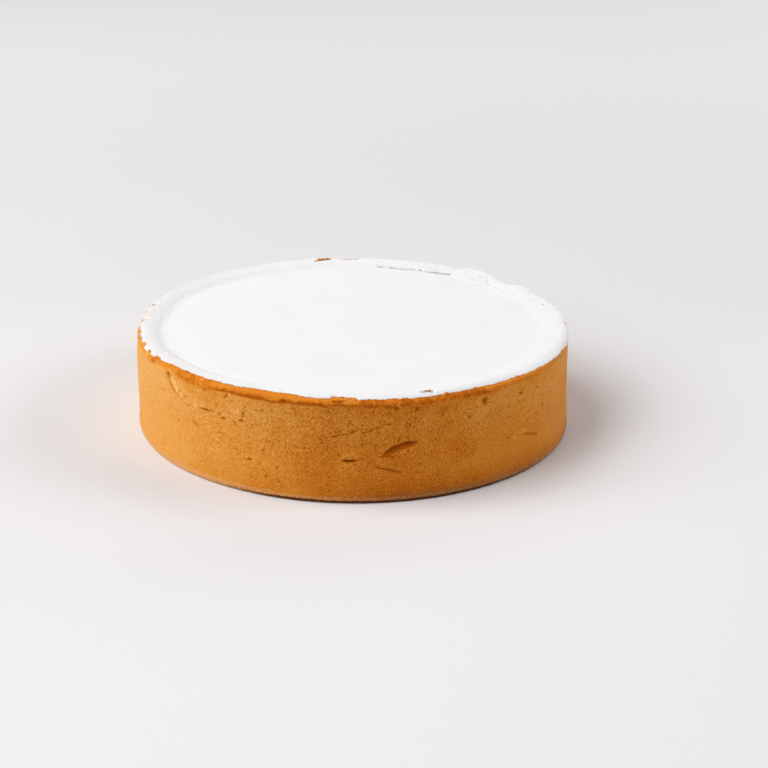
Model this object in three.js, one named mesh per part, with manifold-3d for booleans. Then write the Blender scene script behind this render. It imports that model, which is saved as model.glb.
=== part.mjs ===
// A whole, uncut lemon tart: a deep straight-sided shortcrust case, the lemon
// filling baked in it, and a thick coat of icing sugar over filling and rim.
// Units are millimetres, +Z is up, and the tart stands on Z = 0 round the Z axis.
// Angles are in degrees, anticlockwise from +X, so the front of the tart is at -90.

import * as THREE from 'three';
import { mergeVertices } from 'three/addons/utils/BufferGeometryUtils.js';
import Module from 'manifold-3d';

// Driving dimensions
const RING_DIAMETER = 240;      // inside width of the baking ring
const PASTRY_HEIGHT = 55.3;     // crest of the pastry rim, before the sugar
const RIM_WIDTH = 16.2;         // outer face to the foot of the rim's inner slope
const RIM_RISE = 3.4;           // crest of the rim above the filling
const CREST_INSET = 5;          // outer face to the crest of the rim
const FLOOR_THICKNESS = 8;      // pastry under the filling
const SUGAR_THICKNESS = 1.1;
const GAP = 0.3;                // clearance between touching pieces

// Smaller sizes
const FOOT_SPREAD = 1.1;        // how far the foot stands proud of the ring size
const FOOT_ROUND = 1.6;         // worn bottom edge
const WALL_DRAFT = 1.2;         // the inside of the case narrows by this to the floor
const FLOOR_FILLET = 5;         // inside corner between the wall and the floor
const LIP_OVERHANG = 0.2;       // browned lip that baked over the ring's edge
const LIP_DROP = 3.6;           // from the crest down to the lip's fullest point
const SUGAR_EDGE = 0.7;         // thickness of the sugar where it ends on the lip
const SIDES = 112;              // facets round the tart
const RING_RADIUS = RING_DIAMETER / 2;

// Unevenness of the rim: each swell or nick is centred at an angle, with a
// half width in degrees, a rise of the crest and a push outwards in mm.
const RIM_FEATURES = [
  { at: -120, half: 40, rise: 0.75, out: 0.1 },   // higher front left
  { at: 80, half: 54, rise: -0.6, out: -0.4 },    // lower back
  { at: 158, half: 28, rise: -0.2, out: -0.9 },   // pinched left
  { at: 12, half: 24, rise: 0.4, out: 0.9 },      // swollen right
  { at: -24, half: 26, rise: -0.3, out: 0.1 },
  { at: 50, half: 7, rise: 2.0, out: 0.9 },       // heaped lump at the back right
  { at: 38.5, half: 5, rise: -1.2, out: -1.8 },   // chip beside the lump
  { at: 94, half: 8, rise: -0.9, out: 0 },        // broken crest at the back
];

// Ripples of the outer face and of the filling
const OUT_OF_ROUND = 0.35;
const FILLING_RIPPLE = 0.3;
const MIDDLE_RISE = 0.2;        // the filling swells a little towards its middle

// Dents of the wall: the ends of each dent as angle and height, and its width and depth
const WALL_DENTS = [
  { from: [-83.5, 23.8], to: [-73.5, 31.8], width: 3.2, depth: 1.3 },   // long gouge
  { from: [-92.3, 23.0], to: [-87.3, 23.7], width: 1.6, depth: 0.9 },   // slit beside it
  { from: [-146.5, 53.0], to: [-140, 41], width: 2.6, depth: 0.9 },     // slanting crease
  { from: [-84, 18.9], to: [-77, 16.0], width: 1.1, depth: 0.5 },       // crack below
];

const wasm = await Module();
wasm.setup();

const radians = THREE.MathUtils.degToRad;

// A soft bump: 1 at the middle, 0 one half width away and beyond
function bump(angle, at, half) {
  const away = THREE.MathUtils.euclideanModulo(angle - at + 180, 360) - 180;
  if (Math.abs(away) >= half) return 0;
  return 0.5 + 0.5 * Math.cos((Math.PI * away) / half);
}

// How far the crest stands above its nominal height at an angle
function crestRise(angle) {
  const swells = RIM_FEATURES.reduce((sum, f) => sum + f.rise * bump(angle, f.at, f.half), 0);
  return swells + 0.16 * Math.sin(radians(13 * angle + 40)) + 0.1 * Math.sin(radians(29 * angle));
}

// How far the lip is pushed outwards at an angle
function lipPush(angle) {
  const swells = RIM_FEATURES.reduce((sum, f) => sum + f.out * bump(angle, f.at, f.half), 0);
  return swells + 0.12 * Math.sin(radians(17 * angle + 70));
}

// Out-of-round shape of the whole wall; even waves keep it centred
function wallWave(angle) {
  return OUT_OF_ROUND * (0.6 * Math.cos(radians(2 * angle + 50)) + 0.4 * Math.cos(radians(4 * angle)));
}

// Uneven surface of the filling, level at the middle of the tart
function fillingRise(angle, radius) {
  const share = Math.min(radius / RING_RADIUS, 1);
  return FILLING_RIPPLE * share * share * Math.sin(radians(3 * angle + 20));
}

// A lathe-turned body whose rings are then moved by shape(angle, radius, height)
function turned(profile, shape) {
  const lathe = new THREE.LatheGeometry(profile.map(([r, z]) => new THREE.Vector2(r, z)), SIDES);
  lathe.deleteAttribute('normal');
  lathe.deleteAttribute('uv');
  lathe.rotateX(Math.PI / 2);
  const place = lathe.attributes.position;
  for (let i = 0; i < place.count; i += 1) {
    const radius = Math.hypot(place.getX(i), place.getY(i));
    const angle = THREE.MathUtils.radToDeg(Math.atan2(place.getY(i), place.getX(i)));
    const [r, z] = shape(angle, radius, place.getZ(i));
    const scale = radius > 0 ? r / radius : 0;
    place.setXYZ(i, place.getX(i) * scale, place.getY(i) * scale, z);
  }
  return withoutSlivers(mergeVertices(lathe, 1e-4));
}

// Drops the triangles that have collapsed to a line at the axis
function withoutSlivers(geometry) {
  const kept = [];
  const index = geometry.index;
  for (let i = 0; i < index.count; i += 3) {
    const corners = [index.getX(i), index.getX(i + 1), index.getX(i + 2)];
    if (new Set(corners).size === 3) kept.push(...corners);
  }
  geometry.setIndex(kept);
  return geometry;
}

function toSolid(geometry) {
  return new wasm.Manifold(new wasm.Mesh({
    numProp: 3,
    vertProperties: Float32Array.from(geometry.attributes.position.array),
    triVerts: Uint32Array.from(geometry.index.array),
  }));
}

function toGeometry(solid) {
  const mesh = solid.getMesh();
  const geometry = new THREE.BufferGeometry();
  geometry.setAttribute('position', new THREE.BufferAttribute(mesh.vertProperties, 3));
  geometry.setIndex(new THREE.BufferAttribute(mesh.triVerts, 1));
  return geometry;
}

// The crest's rise and the lip's push fade out down the wall and down the inner slope
function rimShare(height) {
  return THREE.MathUtils.smoothstep(height, PASTRY_HEIGHT - 14, PASTRY_HEIGHT - 3);
}

// Moves a point of the nominal case or sugar to its place on the uneven tart
function unevenRim(angle, radius, height) {
  const inner = RING_RADIUS - RIM_WIDTH;
  const onRim = THREE.MathUtils.smoothstep(radius, inner, RING_RADIUS - CREST_INSET);
  const rimLift = onRim * rimShare(height) * crestRise(angle);
  const lift = rimLift + (1 - onRim) * fillingLift(angle, radius, height);
  const outside = THREE.MathUtils.smoothstep(radius, RING_RADIUS - 8, RING_RADIUS - 2);
  const push = outside * (wallWave(angle) + rimShare(height) * lipPush(angle));
  return [radius + push, height + lift];
}

// The ripple of the filling's surface, without moving the floor below it
function fillingLift(angle, radius, height) {
  return height > PASTRY_HEIGHT / 2 ? fillingRise(angle, radius) : 0;
}

// Heights and radii that the three profiles share
const fillingTop = PASTRY_HEIGHT - RIM_RISE;
const innerFoot = RING_RADIUS - RIM_WIDTH;
const innerFloor = innerFoot - WALL_DRAFT;

// The top of the pastry rim, from the fullest point of the lip to the inner foot
function rimTop() {
  return [
    [RING_RADIUS + LIP_OVERHANG, PASTRY_HEIGHT - LIP_DROP],
    [RING_RADIUS - 0.4, PASTRY_HEIGHT - 1.8],
    [RING_RADIUS - 1.6, PASTRY_HEIGHT - 0.7],
    [RING_RADIUS - 2.9, PASTRY_HEIGHT - 0.25],
    [RING_RADIUS - CREST_INSET, PASTRY_HEIGHT],
    [innerFoot + 7.4, PASTRY_HEIGHT - 0.16 * RIM_RISE],
    [innerFoot + 4.2, PASTRY_HEIGHT - 0.42 * RIM_RISE],
    [innerFoot + 1.4, PASTRY_HEIGHT - 0.78 * RIM_RISE],
    [innerFoot, fillingTop],
  ];
}

function pastryCase() {
  const profile = [
    [0, 0],
    [RING_RADIUS + FOOT_SPREAD - FOOT_ROUND, 0],
    [RING_RADIUS + FOOT_SPREAD, FOOT_ROUND],
    [RING_RADIUS + 0.4, PASTRY_HEIGHT * 0.3],
    [RING_RADIUS, PASTRY_HEIGHT * 0.62],
    [RING_RADIUS - 0.1, PASTRY_HEIGHT - 5],
    ...rimTop(),
    [innerFloor, FLOOR_THICKNESS + FLOOR_FILLET],
    [innerFloor - FLOOR_FILLET, FLOOR_THICKNESS],
    [0, FLOOR_THICKNESS],
  ];
  const blank = toSolid(turned(profile, unevenRim));
  const dented = WALL_DENTS.reduce((solid, dent) => solid.subtract(toSolid(dentCutter(dent))), blank);
  return toGeometry(dented);
}

function lemonFilling() {
  const floor = FLOOR_THICKNESS + GAP;
  const profile = [
    [0, floor],
    [innerFloor - FLOOR_FILLET - GAP, floor],
    [innerFloor - GAP, floor + FLOOR_FILLET],
    [innerFoot - GAP, fillingTop - 0.5],
    [innerFoot - 2, fillingTop],
    [innerFoot * 0.5, fillingTop + MIDDLE_RISE],
    [0, fillingTop + MIDDLE_RISE],
  ];
  return turned(profile, unevenRim);
}

// The sugar lies GAP above the pastry and filling, and thins to its edge on the lip
function icingSugar() {
  const bed = [
    ...rimTop().slice(3),
    [innerFoot - 2, fillingTop],
    [innerFoot * 0.5, fillingTop + MIDDLE_RISE],
    [0, fillingTop + MIDDLE_RISE],
  ].map(([r, z]) => [r, z + GAP]);
  const [lipRadius, lipHeight] = bed[0];
  const edge = [lipRadius + 1.1, lipHeight + SUGAR_EDGE / 3];
  const top = bed.map(([r, z], i) => [r, z + (i === 0 ? SUGAR_EDGE : SUGAR_THICKNESS)]);
  return turned([...bed].reverse().concat([edge], top), unevenRim);
}

// A long shallow ellipsoid laid along the wall between two places on it
function dentCutter({ from, to, width, depth }) {
  const onWall = ([angle, height]) => new THREE.Vector3(
    Math.cos(radians(angle)) * RING_RADIUS,
    Math.sin(radians(angle)) * RING_RADIUS,
    height,
  );
  const start = onWall(from);
  const end = onWall(to);
  const middle = start.clone().add(end).multiplyScalar(0.5);
  const outwards = new THREE.Vector3(middle.x, middle.y, 0).normalize();
  const along = end.clone().sub(start);
  const length = along.length();
  along.addScaledVector(outwards, -along.dot(outwards)).normalize();
  const across = new THREE.Vector3().crossVectors(outwards, along);
  const sagitta = RING_RADIUS - Math.hypot(middle.x, middle.y);
  const cutter = mergeVertices(plainSphere(), 1e-4);
  withoutSlivers(cutter);
  cutter.scale(length / 2, width / 2, depth + sagitta);
  cutter.applyMatrix4(new THREE.Matrix4().makeBasis(along, across, outwards));
  middle.addScaledVector(outwards, sagitta);
  return cutter.translate(middle.x, middle.y, middle.z);
}

function plainSphere() {
  const sphere = new THREE.SphereGeometry(1, 14, 8);
  sphere.deleteAttribute('normal');
  sphere.deleteAttribute('uv');
  return sphere;
}

function named(name, geometry, color, roughness) {
  geometry.computeVertexNormals();
  const material = new THREE.MeshStandardMaterial({ color, roughness, metalness: 0 });
  const mesh = new THREE.Mesh(geometry, material);
  mesh.name = name;
  return mesh;
}

const tart = new THREE.Group();
tart.add(
  named('pastry_case', pastryCase(), '#c98b45', 0.85),
  named('lemon_filling', lemonFilling(), '#e9c65a', 0.5),
  named('icing_sugar', icingSugar(), '#f6f5f4', 1),
);

// Stands the tart on Z = 0 with its bounding box centred on the Z axis
const box = new THREE.Box3().setFromObject(tart);
const middle = box.getCenter(new THREE.Vector3());
tart.position.set(-middle.x, -middle.y, -box.min.z);

export default tart;
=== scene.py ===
"""A whole lemon tart: golden shortcrust case, lemon filling and a thick coat of icing sugar.

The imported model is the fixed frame. The shapes are worked out in millimetres round the Z axis,
with angles in degrees anticlockwise from +X, so the front of the tart is at -90, and are turned
into metres when a mesh is made.
"""

import logging
import math
from dataclasses import dataclass, field
from enum import Enum

import bmesh
import bpy
import numpy as np
from mathutils import Matrix, Vector


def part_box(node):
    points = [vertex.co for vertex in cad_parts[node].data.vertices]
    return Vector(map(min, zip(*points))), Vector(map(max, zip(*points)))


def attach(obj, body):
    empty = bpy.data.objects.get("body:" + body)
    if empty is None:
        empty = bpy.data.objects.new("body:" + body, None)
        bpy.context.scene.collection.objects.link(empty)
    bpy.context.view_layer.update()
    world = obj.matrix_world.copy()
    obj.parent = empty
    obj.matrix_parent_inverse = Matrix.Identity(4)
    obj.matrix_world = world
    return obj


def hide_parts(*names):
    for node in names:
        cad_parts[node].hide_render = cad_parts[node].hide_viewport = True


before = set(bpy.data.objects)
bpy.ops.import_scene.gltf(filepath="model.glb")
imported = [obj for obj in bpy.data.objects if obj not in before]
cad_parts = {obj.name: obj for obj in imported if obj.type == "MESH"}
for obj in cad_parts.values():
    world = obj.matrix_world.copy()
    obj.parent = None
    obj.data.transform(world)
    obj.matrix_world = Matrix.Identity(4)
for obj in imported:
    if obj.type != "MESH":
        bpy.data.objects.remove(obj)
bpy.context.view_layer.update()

LOG = logging.getLogger("lemon_tart")
MM = 0.001
SIDES = 720             # points round the outer wall
FRONT_SHARE = 0.5       # how much closer they stand at the front than at the sides
SIDE_SWELL = 0.28       # how far the wall's waviness carries it out at +X, mm
FILLING_SWELL = 0.25    # how far the filling's solid rises over its level, mm
Colour = tuple[float, float, float]
Array = np.ndarray
Numbers = float | Array     # one number, or an array of them
Pair = tuple[float, float]
Path = tuple[Pair, ...]
Piece = bpy.types.Object


class Slot(Enum):
    """The record's material slots that the pieces made here take."""

    PASTRY = "pastry"
    SUGAR = "sugar"


# ---- shape helpers

def smoothstep(low: Numbers, high: Numbers, value: Numbers) -> Numbers:
    """Rises smoothly from 0 to 1 as value goes from low to high."""
    share = np.clip((value - low) / (high - low), 0.0, 1.0)
    return share * share * (3.0 - 2.0 * share)


def soft_step(at: float, width: float, value: Numbers) -> Numbers:
    """Rises smoothly from 0 to 1 over a width, half way at a place."""
    return smoothstep(at - width / 2, at + width / 2, value)


def turn_between(angle: Numbers, at: float) -> Numbers:
    """Signed degrees of the shortest turn from at to each angle, from -180 to 180."""
    return (angle - at + 180.0) % 360.0 - 180.0


@dataclass(frozen=True)
class SpaceNoise:
    """Seeded smooth noise in space, so that it joins up all the way round the tart."""

    seed: int

    def _corner(self, x: Array, y: Array, z: Array) -> Array:
        """One fixed random value from -1 to 1 for each whole-numbered corner.

        Args:
            x: whole numbers along X.
            y: whole numbers along Y.
            z: whole numbers along Z.

        Returns:
            An array of the same shape.
        """
        mask = 0xFFFFFFFF
        mixed = (x * 374761393 + y * 668265263 + z * 1274126177 + self.seed * 974711) & mask
        mixed = ((mixed ^ (mixed >> 13)) * 1103515245) & mask
        mixed = ((mixed ^ (mixed >> 15)) * 2246822519) & mask
        return ((mixed ^ (mixed >> 16)) & 0xFFFF) / 32767.5 - 1.0

    def at(self, points: Array, size: float) -> Array:
        """Noise whose lumps are about size across.

        Args:
            points: array of shape (..., 3), in millimetres.
            size: width of one lump, in millimetres.

        Returns:
            Values from -1 to 1, one for each point.
        """
        scaled = points / size + 0.37 * self.seed
        cell = np.floor(scaled).astype(np.int64)
        share = scaled - cell
        share = share * share * share * (share * (share * 6.0 - 15.0) + 10.0)
        total = np.zeros(points.shape[:-1])
        for dx in (0, 1):
            for dy in (0, 1):
                for dz in (0, 1):
                    weight = np.ones(points.shape[:-1])
                    for axis, step in enumerate((dx, dy, dz)):
                        weight *= share[..., axis] if step else 1.0 - share[..., axis]
                    corner = self._corner(cell[..., 0] + dx, cell[..., 1] + dy, cell[..., 2] + dz)
                    total += weight * corner
        return total

    def layered(self, points: Array, size: float, layers: int = 3, keep: float = 0.5) -> Array:
        """Noise with finer layers added to it.

        Args:
            points: array of shape (..., 3), in millimetres.
            size: width of the largest lumps, in millimetres.
            layers: how many sizes are added, each half the last.
            keep: strength of each layer against the last.

        Returns:
            Values from about -1 to 1, one for each point.
        """
        total, strength, weight = np.zeros(points.shape[:-1]), 0.0, 1.0
        for layer in range(layers):
            total += weight * SpaceNoise(self.seed + 17 * layer).at(points, size / 2 ** layer)
            strength += weight
            weight *= keep
        return total / strength


def turns_round() -> Array:
    """Angles in degrees of the points of a full ring, closest at the front, where the tart is finest."""
    even = np.arange(SIDES) * 360.0 / SIDES - 180.0
    return even - np.degrees(FRONT_SHARE * np.sin(np.radians(even + 90.0)))


def ring_points(angle: Numbers, radius: Numbers, height: Numbers) -> Array:
    """Points of shape (..., 3), at angles round the Z axis, radii from it and heights over the base."""
    turn = np.radians(angle)
    return np.stack(np.broadcast_arrays(radius * np.cos(turn), radius * np.sin(turn), height), axis=-1)


@dataclass(frozen=True)
class Profile:
    """A smooth line through a few points of radius and height."""

    points: Path
    steps: int = 24

    def _table(self) -> tuple[Array, Array]:
        """Works the line out finely.

        Returns:
            The line's points and the distance along it to each of them.
        """
        knots = np.array(self.points, float)
        before = np.vstack([2 * knots[0] - knots[1], knots[:-1]])
        after = np.vstack([knots[1:], 2 * knots[-1] - knots[-2]])
        slope = (after - before) / 2.0
        share = np.linspace(0.0, 1.0, self.steps, endpoint=False)[:, None]
        fine = []
        for a, b, sa, sb in zip(knots[:-1], knots[1:], slope[:-1], slope[1:]):
            gap = np.linalg.norm(b - a)
            sa = sa / max(np.linalg.norm(sa), 1e-9) * gap
            sb = sb / max(np.linalg.norm(sb), 1e-9) * gap
            fine.append((2 * share**3 - 3 * share**2 + 1) * a + (share**3 - 2 * share**2 + share) * sa
                        + (3 * share**2 - 2 * share**3) * b + (share**3 - share**2) * sb)
        line = np.vstack(fine + [knots[-1:]])
        along = np.concatenate([[0.0], np.cumsum(np.linalg.norm(np.diff(line, axis=0), axis=1))])
        return line, along

    def length(self) -> float:
        """Length of the whole line, in millimetres."""
        return float(self._table()[1][-1])

    def crest_distance(self) -> float:
        """Distance along the line to its highest point, in millimetres."""
        line, along = self._table()
        return float(along[np.argmax(line[:, 1])])

    def at(self, distance: Array) -> tuple[Array, Array]:
        """Radius and height at distances along the line, in millimetres from its first point."""
        line, along = self._table()
        return np.interp(distance, along, line[:, 0]), np.interp(distance, along, line[:, 1])


class RingMesh:
    """Skins one ring of points to the next, from one point on the axis to another.

    A ring has as many points as the last, or half or twice as many.
    """

    def __init__(self) -> None:
        """Starts with no rings."""
        self.rings: list[Array] = []
        self.values: dict[str, list[Array]] = {}

    def add(self, ring: Array, **values: Array) -> None:
        """Adds one ring, or one point that closes the mesh.

        Args:
            ring: array of shape (n, 3), in millimetres.
            values: one named number for each point.
        """
        self.rings.append(np.asarray(ring, float).reshape(-1, 3))
        for name, value in values.items():
            self.values.setdefault(name, []).append(np.broadcast_to(value, len(self.rings[-1])))

    @staticmethod
    def _bridge(a: int, n: int, b: int, m: int) -> list[list[int]]:
        """Faces between one ring and the next.

        Args:
            a: number of the first ring's first point.
            n: how many points the first ring has.
            b: number of the second ring's first point.
            m: how many points the second ring has.

        Returns:
            The point numbers of each face.
        """
        if n < m:
            return [face[::-1] for face in RingMesh._bridge(b, m, a, n)]
        if n == m:
            return [[a + i, a + (i + 1) % n, b + (i + 1) % n, b + i] for i in range(n)]
        if m == 1:
            return [[a + i, a + (i + 1) % n, b] for i in range(n)]
        if n == 2 * m:
            return [[a + 2 * i, a + 2 * i + 1, a + (2 * i + 2) % n, b + (i + 1) % m, b + i]
                    for i in range(m)]
        raise ValueError(f"rings of {n} and {m} points can't be joined")

    def build(self, name: str) -> Piece:
        """Makes the object.

        Args:
            name: the piece's name.

        Returns:
            A smooth-shaded mesh object, in metres, in the scene.
        """
        faces: list[list[int]] = []
        start = 0
        for ring, after in zip(self.rings[:-1], self.rings[1:]):
            faces += self._bridge(start, len(ring), start + len(ring), len(after))
            start += len(ring)
        piece = mesh_object(name, np.vstack(self.rings), faces)
        for value_name, values in self.values.items():
            store_value(piece, value_name, np.concatenate(values))
        return piece


def mesh_object(name: str, points: Array, faces: list[list[int]]) -> Piece:
    """Makes a smooth-shaded mesh object from points in millimetres.

    Args:
        name: the piece's name.
        points: array of shape (n, 3), in millimetres.
        faces: point numbers of each face, anticlockwise from outside.

    Returns:
        The new object, linked to the scene.
    """
    mesh = bpy.data.meshes.new(name)
    mesh.from_pydata((np.asarray(points) * MM).tolist(), [], faces)
    mesh.update()
    mesh.shade_smooth()
    piece = bpy.data.objects.new(name, mesh)
    bpy.context.scene.collection.objects.link(piece)
    return piece


def store_value(piece: Piece, name: str, values: Array) -> None:
    """Keeps one number for each point of a piece, for its finish to read."""
    layer = piece.data.attributes.new(name, "FLOAT", "POINT")
    layer.data.foreach_set("value", values.astype(np.float32))


# ---- the tart's form

@dataclass(frozen=True)
class RimFeature:
    """A swell or chip of the rim: it rises over soft_before, holds, and ends over soft_after."""

    at: float         # angle of its middle, degrees
    half: float       # half its width, degrees
    rise: float       # how far the crest goes up, mm
    out: float = 0.0  # how far the lip goes outwards, mm
    soft_before: float = 3.0
    soft_after: float = 3.0

    def share(self, angle: Numbers) -> Numbers:
        """How much of the feature is felt at each angle, from 0 to 1."""
        away = turn_between(angle, self.at)
        return (soft_step(-self.half, self.soft_before, away)
                * (1.0 - soft_step(self.half, self.soft_after, away)))


@dataclass(frozen=True)
class LipStretch:
    """A stretch of the browned lip that overhangs the wall."""

    start: float         # degrees
    end: float           # degrees
    band: float          # height of the browned band under the crest, mm
    overhang: float      # how far it stands out of the wall, mm
    soft: float = 4.0    # degrees over which it fades in and out
    brown: float = 0.85  # how browned it is; 1 is a full toasted orange

    def share(self, angle: Numbers) -> Numbers:
        """How much of the stretch is felt at each angle, from 0 to 1."""
        away = turn_between(angle, (self.start + self.end) / 2)
        return 1.0 - soft_step(turn_between(self.end, self.start) / 2, self.soft, np.abs(away))


@dataclass(frozen=True)
class Groove:
    """A gouge, crease or crack that follows a few places of the wall."""

    path: Path            # angle in degrees and height in mm of each place
    width: float          # mm
    depth: float          # mm
    dark: float = 1.0     # how much painted shade darkens the inside
    lean: float = 0.0     # 1 puts the deep side at the top edge, -1 at the bottom edge
    ragged: float = 0.25  # unevenness of its line, mm
    taper: float = 0.35   # share of its length over which each end narrows
    broken: float = 0.0   # 1 breaks the line into short pieces


@dataclass(frozen=True)
class Spot:
    """A pit, bump or stain of the wall."""

    angle: float        # degrees
    height: float       # mm
    width: float        # mm
    tall: float         # mm
    depth: float        # mm inwards; negative stands out
    dark: float = 0.0   # how much painted shade darkens it
    pale: float = 0.0   # how much it is paler; on ridges and bulges partly a painted highlight
    brown: float = 0.0  # how much it is browned


# at, half, rise, out, soft_before, soft_after
RIM_FEATURES: tuple[RimFeature, ...] = tuple(RimFeature(*row) for row in (
    (-120, 26, 0.75, 0.1, 22, 14),  # higher front left
    (80, 42, -0.9, -0.4, 14, 16),  # lower back
    (130, 14, -0.6, -0.2, 12, 12),
    (162, 20, -0.2, -1.2, 14, 10),  # pinched left
    (12, 15, -0.1, 0.5, 12, 8),  # swollen right
    (-8, 14, 0, -0.6, 14, 8),
    (-174, 12, 0, -0.7, 10, 10),
    (-24, 18, -0.9, 0.2, 16, 16),
    (50, 4.6, 1.4, 0.5, 5, 3),  # lump, back right
    (38.5, 3.6, -0.9, -1.6, 2.6, 3.2),  # chip beside it
    (30.5, 1.6, 0.4, 0.5, 1.2, 1.2),
    (24, 2.2, -0.7, -0.4, 1.2, 2),
    (94, 5.5, -0.6, 0, 2, 3),  # broken crest, back
    (99.6, 2, 0.5, 0, 0.8, 1),
    (-161, 3.4, -0.5, -0.4, 3, 2),
    (-92, 3.2, 0.25, 0.1, 0.6, 0.8),
))

# where the rim's inner slope stands further out
NARROW_RIM: tuple[RimFeature, ...] = tuple(RimFeature(*row) for row in (
    (176, 30, 0, 2.2, 44, 24),
    (-144, 14, 0, 3.2, 24, 26),
))
# a sharper shoulder at the right
SQUARE_RIM = RimFeature(at=-12.0, half=40.0, rise=0.9, soft_before=24, soft_after=24)

# start, end, band, overhang, soft, brown
LIP_STRETCHES: tuple[LipStretch, ...] = tuple(LipStretch(*row) for row in (
    (-126, -97.2, 2.8, 0.95, 2.5, 1.1),
    (-99.6, -95.6, 3.2, 1.15, 0.8, 1),
    (-95, -88.6, 2, 0.8, 0.8, 0.05),
    (-190, -155, 2.6, 0.12, 6, 0.4),
    (-151, -142, 2, 0.12, 2.5, 0.75),
    (-138.5, -128, 4.4, 0.12, 4, 0.95),
    (-88, -79, 3.4, 0.08, 3, 1.34),
    (-79, -54, 2.8, 0.04, 4, 1.28),
    (-50, -20, 2, 0.12, 6, 0.6),
    (-18, 20, 1.8, 0.1, 8, 0.3),
    (20, 64, 2.8, 0.5, 5),
    (98, 150, 3, 0.7, 5),
))

FOOT_FEATURES: tuple[RimFeature, ...] = tuple(RimFeature(*row) for row in (
    (-70, 48, 0, 0.9, 40, 40),
    (-172, 24, 0, -1.3, 24, 34),  # drawn-in foot, left
    (110, 20, 0, -0.5, 20, 20),
))


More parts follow.
